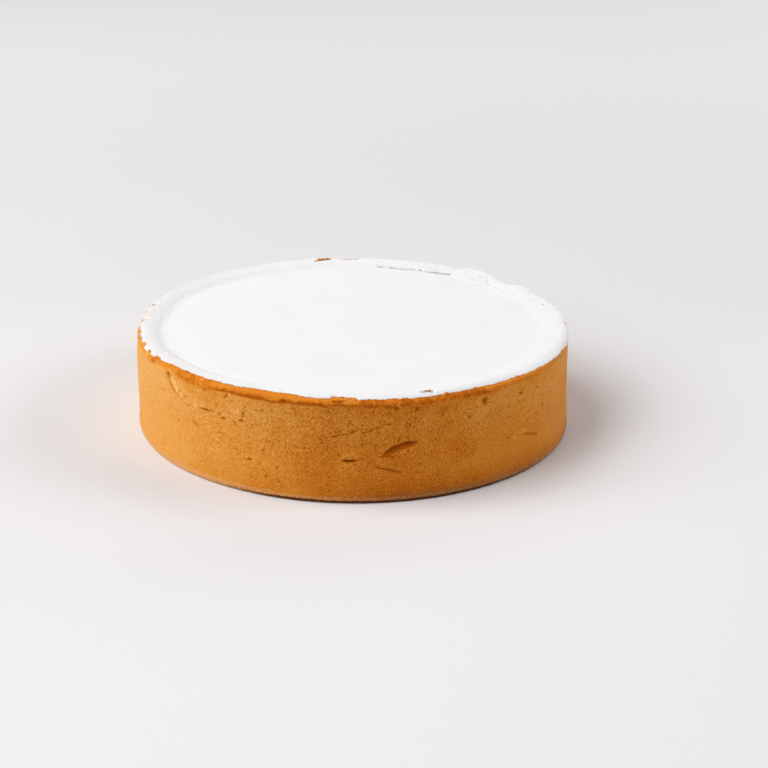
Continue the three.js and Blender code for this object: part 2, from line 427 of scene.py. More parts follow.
@dataclass(frozen=True)
class TartShape:
    """The uneven form that the pastry, the filling and the sugar share, in millimetres."""

    ring_radius: float
    filling_top: float
    rim_rise: float = 3.4     # crest of the pastry above the filling
    rim_width: float = 16.2   # outer face to the foot of the rim's inner slope
    crest_inset: float = 5.0  # outer face to the crest
    foot_spread: float = 1.1  # how far the foot stands proud of the ring size
    foot_round: float = 0.9   # worn bottom edge
    floor_thickness: float = 8.0
    lip_height: float = 3.4   # browned band under the crest
    lip_overhang: float = 0.15
    noise: SpaceNoise = field(default_factory=lambda: SpaceNoise(11))

    @property
    def crest(self) -> float:
        """Nominal height of the pastry's crest."""
        return self.filling_top + self.rim_rise

    @property
    def inner_foot(self) -> float:
        """Radius of the foot of the rim's inner slope."""
        return self.ring_radius - self.rim_width

    def rim_profile(self) -> Profile:
        """Draws the rim.

        Returns:
            Its line from the filling's edge, over the crest, to the top of the wall.
        """
        radius, top, rise = self.ring_radius, self.crest, self.rim_rise
        foot = self.inner_foot
        return Profile((
            (foot - 5.0, top - rise),
            (foot - 1.4, top - 0.97 * rise),
            (foot + 1.2, top - 0.77 * rise),
            (foot + 4.2, top - 0.42 * rise),
            (foot + 7.4, top - 0.16 * rise),
            (radius - self.crest_inset, top),
            (radius - 2.9, top - 0.25),
            (radius - 1.1, top - 1.1),
            (radius - 0.1, top - 2.3),
            (radius + 0.2, top - 3.8),
            (radius + 0.1, top - 5.6),
            (radius, top - 8.0),
        ))

    def wall_profile(self) -> Profile:
        """Draws the outer face.

        Returns:
            Its line from the foot to the top of the wall.
        """
        radius, top = self.ring_radius, self.crest
        foot = radius + self.foot_spread
        return Profile((
            (foot - self.foot_round, 0.0),
            (foot - 0.45 * self.foot_round, 0.35 * self.foot_round),
            (foot, self.foot_round),
            (radius + 0.75, 7.0),
            (radius + 0.35, 0.35 * top),
            (radius, 0.62 * top),
            (radius, top - 8.0),
        ))

    def crest_lift(self, angle: Numbers) -> Numbers:
        """How far the crest stands above its nominal height.

        Args:
            angle: degrees.

        Returns:
            Millimetres for each angle.
        """
        around = ring_points(angle, self.ring_radius, 0.0)
        lift = 0.35 * self.noise.layered(around, 30.0, 3)
        lift += 0.16 * SpaceNoise(5).layered(around, 4.5, 3, 0.7)
        return sum((feature.rise * feature.share(angle) for feature in RIM_FEATURES), lift)

    def lip_push(self, angle: Numbers) -> Numbers:
        """How far the lip stands out of its nominal radius at each angle, in millimetres."""
        push = 0.18 * SpaceNoise(21).layered(ring_points(angle, self.ring_radius, 10.0), 9.0, 3)
        return sum((feature.out * feature.share(angle) for feature in RIM_FEATURES), push)

    def lip_band(self, angle: Array) -> tuple[Array, Array, Array]:
        """The browned band's height, the lip's overhang and its browning at each angle.

        Args:
            angle: degrees.

        Returns:
            Three arrays like angle: two in millimetres, and the browning.
        """
        around = ring_points(angle, self.ring_radius, 20.0)
        band = self.lip_height + 0.5 * SpaceNoise(31).layered(around, 14.0, 3)
        overhang = self.lip_overhang + 0.15 * SpaceNoise(33).layered(around, 11.0, 2)
        brown = LipStretch.brown * (1.0 + 0.25 * SpaceNoise(35).layered(around, 6.0, 3, 0.7))
        for stretch in LIP_STRETCHES:
            share = stretch.share(angle)
            band = band + share * (stretch.band - self.lip_height)
            overhang = overhang + share * (stretch.overhang - self.lip_overhang)
            brown = brown + share * (stretch.brown - LipStretch.brown)
        return band, np.maximum(overhang, 0.0), np.maximum(brown, 0.0)

    def uneven(self, angle: Numbers, radius: Numbers, height: Numbers) -> tuple[Numbers, Numbers]:
        """Moves points of the nominal rim or wall to their places on the uneven tart.

        Args:
            angle: degrees.
            radius: nominal radius.
            height: nominal height.

        Returns:
            The radius and height of each point.
        """
        near_top = smoothstep(self.crest - 14.0, self.crest - 2.5, height)
        wander = 0.9 * SpaceNoise(15).layered(ring_points(angle, self.ring_radius, 0.0), 22.0, 4, 0.6)
        wander = wander + sum(feature.out * feature.share(angle) for feature in NARROW_RIM)
        on_slope = smoothstep(self.inner_foot - 5.0, self.inner_foot, radius)
        off_crest = 1.0 - smoothstep(self.inner_foot + 1.0, self.inner_foot + 10.5, radius)
        radius = radius + wander * on_slope * off_crest
        on_rim = smoothstep(self.inner_foot, self.ring_radius - 5.0, radius)
        lift = on_rim * near_top * self.crest_lift(angle)
        on_filling = (1.0 - on_rim) * (height > self.crest / 2)
        lift = lift + on_filling * self.filling_lift(angle, radius)
        shoulder = np.exp(-((height - self.crest + 1.5) / 1.1) ** 2)
        shoulder = shoulder * smoothstep(self.ring_radius - 4.6, self.ring_radius - 1.6, radius)
        lift = lift + SQUARE_RIM.rise * SQUARE_RIM.share(angle) * shoulder
        outside = smoothstep(self.ring_radius - 8.0, self.ring_radius - 2.0, radius)
        wave = 0.22 * np.cos(np.radians(2 * angle + 50)) + 0.14 * np.cos(np.radians(4 * angle))
        low = 1.0 - smoothstep(2.0, 40.0, height)
        for feature in FOOT_FEATURES:
            wave = wave + low * feature.out * feature.share(angle)
        push = outside * (wave + near_top * self.lip_push(angle))
        return radius + push, height + lift

    def filling_lift(self, angle: Numbers, radius: Numbers) -> Numbers:
        """The gentle unevenness of the filling's surface."""
        around = ring_points(angle, radius, 0.0)
        return 0.3 * self.noise.layered(around, 55.0, 2) + 0.1 * SpaceNoise(13).layered(around, 14.0, 2)


# ---- the pastry case

# each groove's places, then its width, depth, dark, lean, ragged, taper and broken
GROOVES: tuple[Groove, ...] = tuple(Groove(*row) for row in (
    # the long gouge, and the torn pit at its lower end
    (((-81.9, 26.7), (-80, 28.5), (-78, 30), (-76.2, 30.9), (-74.2, 31.3)),
     3.9, 1.7, 0.66, 0.7, 0.08, 0.25),
    (((-83.2, 24.9), (-81.8, 25.4), (-80.4, 26.2)), 1.9, 0.7, 0.45, 0, 0.5, 0.3, 0.4),
    (((-80.4, 24.6), (-79.4, 25.8)), 1, 0.5, 0.6, 0, 0.4, 0.3),
    # the slit under a soft bulge
    (((-92.4, 23.2), (-90.4, 23), (-88.9, 23.3)), 1.35, 1.4, 1, 0.6, 0.06, 0.3),
    (((-88.6, 23.4), (-86.8, 24.2)), 1.2, 0.4, 0.25, 0, 0.15, 0.5),
    # the lower crack
    (((-85.3, 20.2), (-83.6, 19.6), (-82.2, 18.7)), 1.3, 0.5, 0.5, 0.2, 0.4, 0.3, 0.6),
    (((-82.6, 18.9), (-80.1, 17.7), (-78.9, 16.7), (-77.4, 16.2)),
     1.1, 0.6, 0.65, 0.3, 0.35, 0.25, 0.5),
    (((-77.2, 16.3), (-73.5, 15.2), (-69.5, 13.6)), 1, 0.25, 0.25, 0.3, 0.3, 0.5, 0.7),
    # the zigzag crack
    (((-98.2, 35.6), (-96.4, 36.2), (-94.8, 36.2)), 1, 0.35, 0.4, 0, 0.5, 0.3, 0.7),
    (((-94.6, 36.3), (-92.7, 37.6), (-91, 37.5), (-89.8, 38.7), (-87.8, 40.6)),
     1, 0.55, 0.95, 0, 0.7, 0.2, 0.45),
    (((-88, 39.2), (-86.1, 38.6), (-84.2, 40.4), (-83, 41.8), (-80.4, 42.6)),
     1, 0.55, 0.9, 0, 0.8, 0.2, 0.6),
    (((-79.6, 42.2), (-77, 42.8), (-74.4, 42.2)), 1, 0.3, 0.35, 0, 0.5, 0.3, 0.8),
    # the slanting crease at the left and its tail
    (((-144.5, 50.6), (-143.8, 47.9), (-143.1, 45.8), (-142.2, 44), (-141.2, 42.6), (-139.7, 41.2)),
     2.2, 0.95, 0.4, -0.3, 0.2, 0.25),
    (((-139.2, 40.6), (-136.8, 38.8), (-133.6, 38.2)), 1.6, 0.3, 0.15, 0, 0.25, 0.5),
    (((-131.4, 39.2), (-129.6, 39.5), (-127.8, 39)), 1.6, 0.7, 0.65, 0.3, 0.25, 0.35),
    # smaller cracks at the left
    (((-134.4, 31.4), (-133.1, 29.7), (-131.7, 27.8)), 1.6, 0.7, 0.5, 0.2, 0.12, 0.4),
    (((-117, 45), (-117.9, 42.4), (-118.2, 40.2)), 1.7, 0.6, 0.45, 0.4, 0.4, 0.3, 0.3),
    (((-122.4, 52.4), (-122.6, 50.6), (-123.2, 49)), 1.5, 0.7, 0.55, 0, 0.25, 0.3),
    # a crack at the right
    (((-42.4, 22.6), (-38.6, 19.9), (-34.6, 17.4)), 1.4, 0.6, 0.5, 0.4, 0.4, 0.35, 0.25),
    # the crack across the loose flake of the lip
    (((-95, 55), (-93, 55.2), (-91.4, 56.1), (-89.8, 56.2)), 0.95, 0.6, 1, 0.2, 0.4, 0.2),
    # round the back
    (((62, 30), (65, 32), (67.5, 34.4), (70, 34.8)), 3.2, 1.3, 0.5, 0.5, 0.5, 0.3, 0.3),
    (((118, 40.6), (119.6, 38.4), (122.4, 38.8), (124, 36.6), (127, 36.9)),
     1.1, 0.6, 0.7, 0, 0.7, 0.3, 0.5),
    (((10, 44), (14, 42), (19, 43)), 1.6, 0.6, 0.65, 0, 0.5, 0.3),
    (((165, 16), (169.5, 18), (172.5, 17.2)), 2, 0.9, 0.7, 0.4, 0.3, 0.3),
    (((87.6, 19.2), (89.4, 20.8), (90.2, 22.8)), 1.4, 0.6, 0.6, 0.3, 0.5, 0.3, 0.3),
))

# each spot's angle, height, width, tall and depth, then how dark, pale or brown it is
SPOTS: tuple[Spot, ...] = (
    Spot(-144, 50.4, 3.8, 4.4, 1.1, dark=0.8),  # hole at the head of the crease
    Spot(-141.8, 48.9, 3.2, 4.6, -0.9, pale=0.8),  # pale ridge beside the crease, partly a painted highlight
    Spot(-140.9, 46.4, 3.4, 5.2, -1.1, pale=1),
    Spot(-139.9, 44.2, 3.2, 4.6, -1, pale=1),
    Spot(-138.4, 42.4, 3.4, 3, -0.6, pale=0.8),
    Spot(-146.6, 45.6, 3.6, 5, -0.3, pale=0.3),
    Spot(-137, 39.6, 7, 1.8, -0.3, pale=0.5),
    Spot(-130, 49, 40, 13, 0, brown=0.23),  # warmer crust under the lip
    Spot(-132, 55.4, 6, 3.2, 0, pale=0.3),  # sugared patches of the lip
    Spot(-124.4, 55.2, 7, 3, 0, pale=0.3),
    Spot(-62, 24, 26, 16, 0, brown=0.22),  # warmer crust right of the gouge
    Spot(-103, 54.6, 17, 3.4, 0, pale=0.3),  # golden stretch of the lip
    Spot(-92.2, 56.9, 7.4, 3.6, 0, pale=0.85),  # paler top of the loose flake, partly a painted highlight
    Spot(-130.4, 40.8, 5, 2.4, -0.3, pale=0.4),
    Spot(-90.6, 26.2, 13, 5.4, -0.6, pale=0.38),  # paler bulge over the slit, partly a painted highlight
    Spot(-91.5, 19.4, 12, 5.4, -0.35, pale=0.34),
    Spot(-77.2, 27.6, 9, 2.8, -0.45, pale=0.4),  # painted highlight on the lower lip of the gouge
    Spot(-81.6, 25, 5, 3.4, 0.1, brown=0.5),  # browner, torn crust round it
    Spot(-82.9, 24.4, 1.6, 1.4, -0.4, pale=1),  # pale crumb in the torn pit
    Spot(-83, 22, 7, 6, -0.2, pale=0.22),
    Spot(-55.4, 48.1, 3.6, 4.4, 1.1, dark=0.65),  # ring-shaped pit
    Spot(-57.4, 48, 1.8, 5, -0.45, pale=0.5),
    Spot(-52.6, 47.6, 1.6, 4.4, -0.35, pale=0.4),
    Spot(-42.6, 45.6, 3.4, 2.2, 0.9, dark=0.7),
    Spot(-42.6, 43.6, 3.6, 1.8, -0.3, pale=0.4),
    Spot(-59.8, 41.2, 2.6, 1.6, 0.7, dark=0.7),
    Spot(-61.3, 41.4, 1.8, 1.6, -0.5, pale=0.85),
    Spot(-67, 47.8, 6, 4.4, 0.8, dark=0.24),
    Spot(-31.6, 47, 2, 3.4, 0.6, dark=0.4),
    Spot(-41.6, 23, 9, 3.6, -0.4, pale=0.45),
    Spot(-45, 21.4, 3, 3, -0.3, pale=0.6),
    Spot(-133.2, 39.9, 4, 2.6, -0.3, pale=0.7),
    Spot(-127.2, 40.2, 2.2, 1.5, 0.5, dark=0.45),
    Spot(-125, 39.4, 1.8, 1.8, 0.6, dark=0.5),
    Spot(-123.7, 37.6, 2.8, 2, 0.8, dark=0.75),
    Spot(-139.7, 27.1, 1.5, 1.5, 0.5, dark=0.6),
    Spot(-121.4, 51.8, 2, 2.4, -0.7, pale=1),  # pale crumb beside the small cleft
    Spot(-119.2, 43.4, 3, 3.6, -0.4, pale=0.45),
    Spot(-118.4, 38.8, 3.2, 1.8, 0.9, dark=0.85),
    Spot(-115.9, 18.5, 3.2, 1.8, 0.7, dark=0.7),
    Spot(-112.2, 25, 1.8, 1.7, 0.6, dark=0.65),
    Spot(-108.4, 16.8, 1.8, 1.6, 0.6, dark=0.6),
    Spot(-107.9, 9.1, 2.2, 1.5, 0.6, dark=0.6),
    Spot(-111.3, 11, 2.6, 1.5, 0.6, dark=0.55),
    Spot(-79.2, 51.2, 2.4, 2.2, 0.8, dark=0.6),
    Spot(-74, 50.2, 2.6, 2.4, 0.8, dark=0.6),
    Spot(-106.8, 53.8, 3.4, 2.2, 0.8, dark=0.7),
    Spot(-93.8, 38.6, 1.6, 1.4, 0.5, dark=0.5),
)


@dataclass
class PastryCase:
    """The shortcrust case: floor, outer wall, browned lip and the rim under the sugar."""

    shape: TartShape
    edge_step: float = 0.4    # distance between rings on the bottom edge, mm
    plain_step: float = 0.8   # on the plain foot of the wall
    fine_step: float = 0.45   # on the marked part of it
    hidden_step: float = 2.0  # and under the sugar
    edge_top: float = 2.4     # where the bottom edge ends, mm along the wall
    plain_top: float = 14.0   # where the marked part starts
    pit_count: int = 1000
    inside_browning: float = 0.7
    seed: int = 7

    def _groove(self, angle: Array, height: Array, groove: Groove) -> tuple[Array, Array]:
        """How deep and how felt a groove is at each place.

        Args:
            angle: degrees, one for each point.
            height: millimetres, one for each point.
            groove: the groove.

        Returns:
            Depth in millimetres and share from 0 to 1, one for each point.
        """
        per_degree = math.radians(self.shape.ring_radius)
        middle = groove.path[0][0]
        line = np.array([((a - middle) * per_degree, h) for a, h in groove.path])
        across = turn_between(angle, middle) * per_degree
        wander = ring_points(angle, self.shape.ring_radius, height)
        across = across + groove.ragged * SpaceNoise(41).layered(wander, 3.0, 2)
        up = height + groove.ragged * SpaceNoise(43).layered(wander, 3.0, 2)
        best = np.full(angle.shape, 1e9)
        side = np.zeros(angle.shape)
        along = np.zeros(angle.shape)
        lengths = np.linalg.norm(np.diff(line, axis=0), axis=1)
        travelled = np.concatenate([[0.0], np.cumsum(lengths)])
        for i, length in enumerate(lengths):
            step = (line[i + 1] - line[i]) / length
            rel_x, rel_y = across - line[i, 0], up - line[i, 1]
            share = np.clip((rel_x * step[0] + rel_y * step[1]) / length, 0.0, 1.0)
            away_x, away_y = rel_x - share * length * step[0], rel_y - share * length * step[1]
            distance = np.hypot(away_x, away_y)
            nearer = distance < best
            best = np.where(nearer, distance, best)
            side = np.where(nearer, np.sign(away_y * step[0] - away_x * step[1]), side)
            along = np.where(nearer, (travelled[i] + share * length) / travelled[-1], along)
        ends = smoothstep(-0.25, groove.taper, along) * (1 - smoothstep(1 - groove.taper, 1.25, along))
        ends = ends * (1 - groove.broken * smoothstep(-0.15, 0.3, SpaceNoise(45).at(wander, 2.3)))
        offset = side * best / (groove.width / 2 * np.maximum(ends, 0.05))
        skewed = offset - 0.6 * groove.lean * np.maximum(1.0 - np.abs(offset), 0.0)
        share = np.maximum(1.0 - skewed * skewed, 0.0) * (np.abs(offset) < 1.0)
        return groove.depth * ends * share, np.sqrt(share) * np.minimum(1.0, ends * 1.4)

    def _spot(self, angle: Array, height: Array, spot: Spot) -> Array:
        """How felt a spot is.

        Args:
            angle: degrees, one for each point.
            height: millimetres, one for each point.
            spot: the spot.

        Returns:
            A share from 0 to 1, one for each point.
        """
        per_degree = math.radians(self.shape.ring_radius)
        x = turn_between(angle, spot.angle) * per_degree / (spot.width / 2)
        y = (height - spot.height) / (spot.tall / 2)
        return np.maximum(1.0 - (x * x + y * y), 0.0)

    def _relief(self, angle: Array, height: Array) -> dict[str, Array]:
        """Everything that is pressed into, torn out of or grown on the wall.

        Args:
            angle: degrees, shape (rows, columns).
            height: millimetres, shape (rows, columns).

        Returns:
            push in millimetres outwards, and the hollow (painted shade in grooves and pits), pale and
            browning shares, each shaped like angle.
        """
        place = ring_points(angle, self.shape.ring_radius, height)
        push = 0.26 * SpaceNoise(51).layered(place, 48.0, 2)
        push += 0.13 * SpaceNoise(53).layered(place, 15.0, 2)
        push += 0.06 * SpaceNoise(55).layered(place, 5.0, 2, 0.7)
        push += 0.05 * SpaceNoise(57).at(place, 1.7)
        hollow = np.zeros(angle.shape)
        pale = np.zeros(angle.shape)
        browning = np.zeros(angle.shape)
        for groove in GROOVES:
            depth, share = self._groove(angle, height, groove)
            push -= depth
            hollow = np.maximum(hollow, groove.dark * share)
        for spot in SPOTS + self._scattered_pits():
            share = self._spot(angle, height, spot)
            push -= spot.depth * share
            hollow = np.maximum(hollow, spot.dark * np.sqrt(share))
            pale = np.maximum(pale, spot.pale * smoothstep(0.0, 0.7, share))
            browning = np.maximum(browning, spot.brown * smoothstep(0.0, 0.6, share))
        return {"push": push, "hollow": hollow, "pale": pale, "browning": browning}

    def _scattered_pits(self) -> tuple[Spot, ...]:
        """Works out the small pits all over the wall, thicker where the crust blistered.

        Returns:
            One spot for each pit.
        """
        random = np.random.default_rng(self.seed)
        pits = []
        while len(pits) < self.pit_count:
            angle, height = random.uniform(-180, 180), random.uniform(6.0, self.shape.crest - 4.0)
            blister = SpaceNoise(61).at(ring_points(np.array(angle), self.shape.ring_radius, height), 34.0)
            middle_band = math.exp(-((height - 42.0) / 14.0) ** 2)
            if random.uniform(0, 1.2) > 0.25 + 0.5 * middle_band + 0.5 * blister:
                continue
            size = random.uniform(0.95, 1.4) + 1.0 * random.uniform(0, 1) ** 5
            pits.append(Spot(angle, height, size * random.uniform(1.0, 1.5), size,
                             random.uniform(0.18, 0.4), dark=random.uniform(0.12, 0.42)))
        return tuple(pits)

    def _lip(self, angle: Array, height: Array) -> tuple[Array, Array, Array]:
        """The browned lip's push, browning and the painted shadow line under it.

        Args:
            angle: degrees, shape (rows, columns).
            height: millimetres, shape (rows, columns).

        Returns:
            Push in millimetres, browning and hollow from 0 to 1, each shaped like angle; the painted shadow
            line is in both.
        """
        band, overhang, brown = self.shape.lip_band(angle)
        place = ring_points(angle, self.shape.ring_radius, height)
        crest = self.shape.crest + self.shape.crest_lift(angle)
        foot = crest - band + 0.5 * SpaceNoise(71).layered(place, 5.0, 2)
        soft = 0.45
        push = overhang * smoothstep(foot - soft, foot + soft, height)
        push *= 1.0 - smoothstep(crest - 1.2, crest + 0.4, height)
        sharp = np.clip(overhang / 0.8, 0.0, 1.0)
        fade = 0.5 + 2.1 * (1.0 - sharp)
        patchy = np.clip(1.0 + 0.9 * SpaceNoise(73).layered(place, 2.6, 3, 0.75), 0.45, 1.15)
        deeper = 1.0 - (0.25 + 0.3 * sharp) * smoothstep(0.0, 0.9, (height - foot) / np.maximum(band, 1.0))
        halo = 0.16 * (1.0 - 0.7 * sharp) * smoothstep(foot - 8.0, foot - 1.0, height)
        banded = smoothstep(foot - fade, foot + 0.5 * fade, height) * patchy * deeper
        browning = brown * np.maximum(banded, halo)
        # a painted shadow line just under the overhang, laid into both the browning and the hollow
        under = np.exp(-((height - foot + 0.55) / 0.5) ** 2) * sharp
        return push, np.maximum(browning, under), 0.3 * under * np.clip(patchy, 0.3, 1.0)

    def build(self) -> Piece:
        """Builds the case.

        Returns:
            The closed mesh, with its browning, hollow and pale values.
        """
        shape = self.shape
        angle = turns_round()
        mesh = RingMesh()
        none = dict.fromkeys(("browning", "hollow", "pale"), 0.0)
        mesh.add([(0, 0, 0)], **none)
        base = shape.ring_radius + shape.foot_spread - shape.foot_round
        self._add_discs(mesh, 0.0, base, angle, True, none)
        radius, height = (values[:, None] + 0 * angle for values in self._rows())
        around = np.broadcast_to(angle, radius.shape)
        radius, height = shape.uneven(around, radius, height)
        relief = self._relief(around, height)
        lip_push, browning, under = self._lip(around, height)
        on_wall = smoothstep(shape.ring_radius - 3.0, shape.ring_radius - 1.0, radius)
        at_foot = 1.0 - smoothstep(0.0, 2.0, height)
        crumbly = SpaceNoise(81).layered(ring_points(around, shape.ring_radius, height), 2.2, 2)
        radius = radius + on_wall * (relief["push"] * (1 - at_foot) + lip_push) + 0.3 * at_foot * crumbly
        points = ring_points(around, radius, np.maximum(height, 0.0))
        # the hollow share paints shade in the grooves and pits, and under the lip
        hollow = np.maximum(relief["hollow"], under) * on_wall
        browning = np.maximum(browning, relief["browning"])
        for row in range(len(points)):
            mesh.add(points[row], browning=browning[row], hollow=hollow[row], pale=relief["pale"][row])
        self._add_inside(mesh, angle, none | {"browning": self.inside_browning})
        return mesh.build("pastry_case_crust")

    def _rows(self) -> tuple[Array, Array]:
        """Spaces the rings up the wall and over the rim, closest where the crust is marked.

        Returns:
            The nominal radius and height of each ring, in millimetres.
        """
        wall, rim = self.shape.wall_profile(), self.shape.rim_profile()
        crest = rim.crest_distance()
        up = np.concatenate([np.arange(0.0, self.edge_top, self.edge_step),
                             np.arange(self.edge_top, self.plain_top, self.plain_step),
                             np.arange(self.plain_top, wall.length(), self.fine_step)])
        over = np.concatenate([np.arange(rim.length(), crest - 1.0, -self.fine_step),
                               np.arange(crest - 1.5, 7.0, -self.hidden_step)])
        radii, heights = zip(wall.at(up), rim.at(over))
        return np.concatenate(radii), np.concatenate(heights)

    def _add_discs(self, mesh: RingMesh, height: float, radius: float, angle: Array,
                   outwards: bool, values: dict[str, float]) -> None:
        """Adds flat rings between the axis and a radius, with fewer points near the axis.

        Args:
            mesh: the mesh that takes the rings.
            height: height of the flat, in millimetres.
            radius: the outermost ring that is added lies just inside it.
            angle: angles of the full ring of points.
            outwards: True from the axis to the radius, False the other way.
            values: the named numbers of every point.
        """
        rings = [(0.2, 8), (0.45, 4), (0.75, 2), (0.96, 2)]
        for share, thin in (rings if outwards else rings[::-1]):
            mesh.add(ring_points(angle[::thin], share * radius, height), **values)

    def _add_inside(self, mesh: RingMesh, angle: Array, values: dict[str, float]) -> None:
        """Adds the inner face and the floor, which the filling hides.

        Args:
            mesh: the mesh that takes the rings.
            angle: angles of the full ring of points.
            values: the named numbers of every point.
        """
        shape = self.shape
        foot, floor = shape.inner_foot, shape.floor_thickness
        mesh.add(ring_points(angle[::2], foot, shape.filling_top - 2.0), **values)
        mesh.add(ring_points(angle[::2], foot - 1.2, floor + 5.0), **values)
        mesh.add(ring_points(angle[::2], foot - 6.2, floor), **values)
        self._add_discs(mesh, floor, foot - 8.0, angle, False, values)
        mesh.add([(0, 0, floor)], **values)

    def dress(self, finish: "PastryFinish") -> Piece:
        """Builds the case, finishes it and puts it in the frame.

        Args:
            finish: the finish.

        Returns:
            The case, finished.
        """
        piece = self.build()
        piece.data.materials.append(finish.material())
        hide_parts("pastry_case")
        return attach(piece, "root")


# ---- filling and sugar

@dataclass
class LemonFilling:
    """The set lemon filling: its CAD solid is right as it is, under the sugar."""

    node: str = "lemon_filling"

    def dress(self, finish: "FillingFinish") -> Piece:
        """Gives the CAD solid its finish.

        Args:
            finish: the finish.

        Returns:
            The filling, finished.
        """
        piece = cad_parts[self.node]
        piece.data.materials.clear()
        piece.data.materials.append(finish.material())
        return piece


@dataclass(frozen=True)
class ShortEdge:
    """A place where the sugar stops short of the lip, or runs further over it."""

    at: float          # degrees
    half: float        # degrees
    back: float        # mm short of the usual edge; negative runs further
    soft: float = 0.8  # degrees

    def share(self, angle: Numbers) -> Numbers:
        """How much of it is felt at each angle, from 0 to 1."""
        return 1.0 - soft_step(self.half, 2 * self.soft, np.abs(turn_between(angle, self.at)))


@dataclass(frozen=True)
class BareLine:
    """A break in the sugar along a few places of the top, where the browned pastry shows."""

    path: Path           # angle in degrees and radius in mm of each place
    width: float         # mm
    depth: float         # mm
    bare: float          # 1 shows the pastry, 0 only dents the sugar
    ragged: float = 0.4  # mm


HEAPED_RIM = RimFeature(at=38.0, half=32.0, rise=0.0, soft_before=20, soft_after=16)  # rough back right
FRONT_EDGE = RimFeature(at=-95.0, half=57.0, rise=0.0, soft_before=22, soft_after=40)

# at, half, back, soft
SHORT_EDGES: tuple[ShortEdge, ...] = tuple(ShortEdge(*row) for row in (
    (90.6, 3.2, 2),
    (156.3, 0.6, 2.6, 0.5),
    (161.3, 0.5, 3, 0.9),
    (166.7, 1.4, 3.6, 0.5),
    (172.3, 0.7, 3.4, 1.2),
    (179.2, 1.5, 3.3, 0.5),
    (-172.5, 1.6, 1.4, 0.8),
    (-163.2, 1.3, 2, 0.6),
    (-156.4, 1, 2, 1),
    (-151.2, 1, 1.5, 1.2),
    (-168.5, 6.5, 0.8, 3),
    (-111, 7.4, 1.7, 2),
    (-92, 3.3, 2, 0.5),
    (-83.5, 5, 0.8, 1.5),
    (0.5, 0.6, 2, 0.4),
    (-24, 18, 0.6, 8),
    (-2, 14, -1, 6),
    (2, 4, 0.8, 3),
))

# each line's places, then its width, depth, bare and ragged
BARE_LINES: tuple[BareLine, ...] = tuple(BareLine(*row) for row in (
    (((101.6, 112.2), (99.8, 113.4), (98.2, 115)), 2.6, 0.3, 0.9, 0.8),
    (((-178.5, 118.2), (-172, 118.6), (-165, 119)), 2.2, 0.3, 0.6, 0.9),
    (((81.5, 106.3), (79.6, 105.9)), 1.3, 0.9, 0.8, 0.9),
    (((77.6, 105.7), (75, 105.5), (71.6, 105.4)), 1.5, 1.1, 0.9, 0.9),
    (((71, 105.4), (66, 105.5), (61.5, 106.4), (57.5, 107.2)), 2.5, 1.3, 1, 1.3),
    (((57.5, 107.2), (50, 108.6), (43, 108.6), (37, 107.8)), 1.8, 0.8, 0, 0.8),
    (((-71.3, 112.9), (-70.2, 112.5), (-69.2, 113.2)), 3, 0.9, 1, 0.4),
    (((93, 114.4), (90, 114.8), (87.2, 114.6)), 1, 0.9, 0.6, 0.5),
    (((15.9, 113.4), (15.5, 113.6)), 1.2, 0.8, 0.9),
    (((10.3, 117.6), (9.8, 117.8)), 1.1, 0.6, 0.9),
    (((-108, 114.6), (-107.5, 114.9)), 0.9, 0.5, 0.7),
))


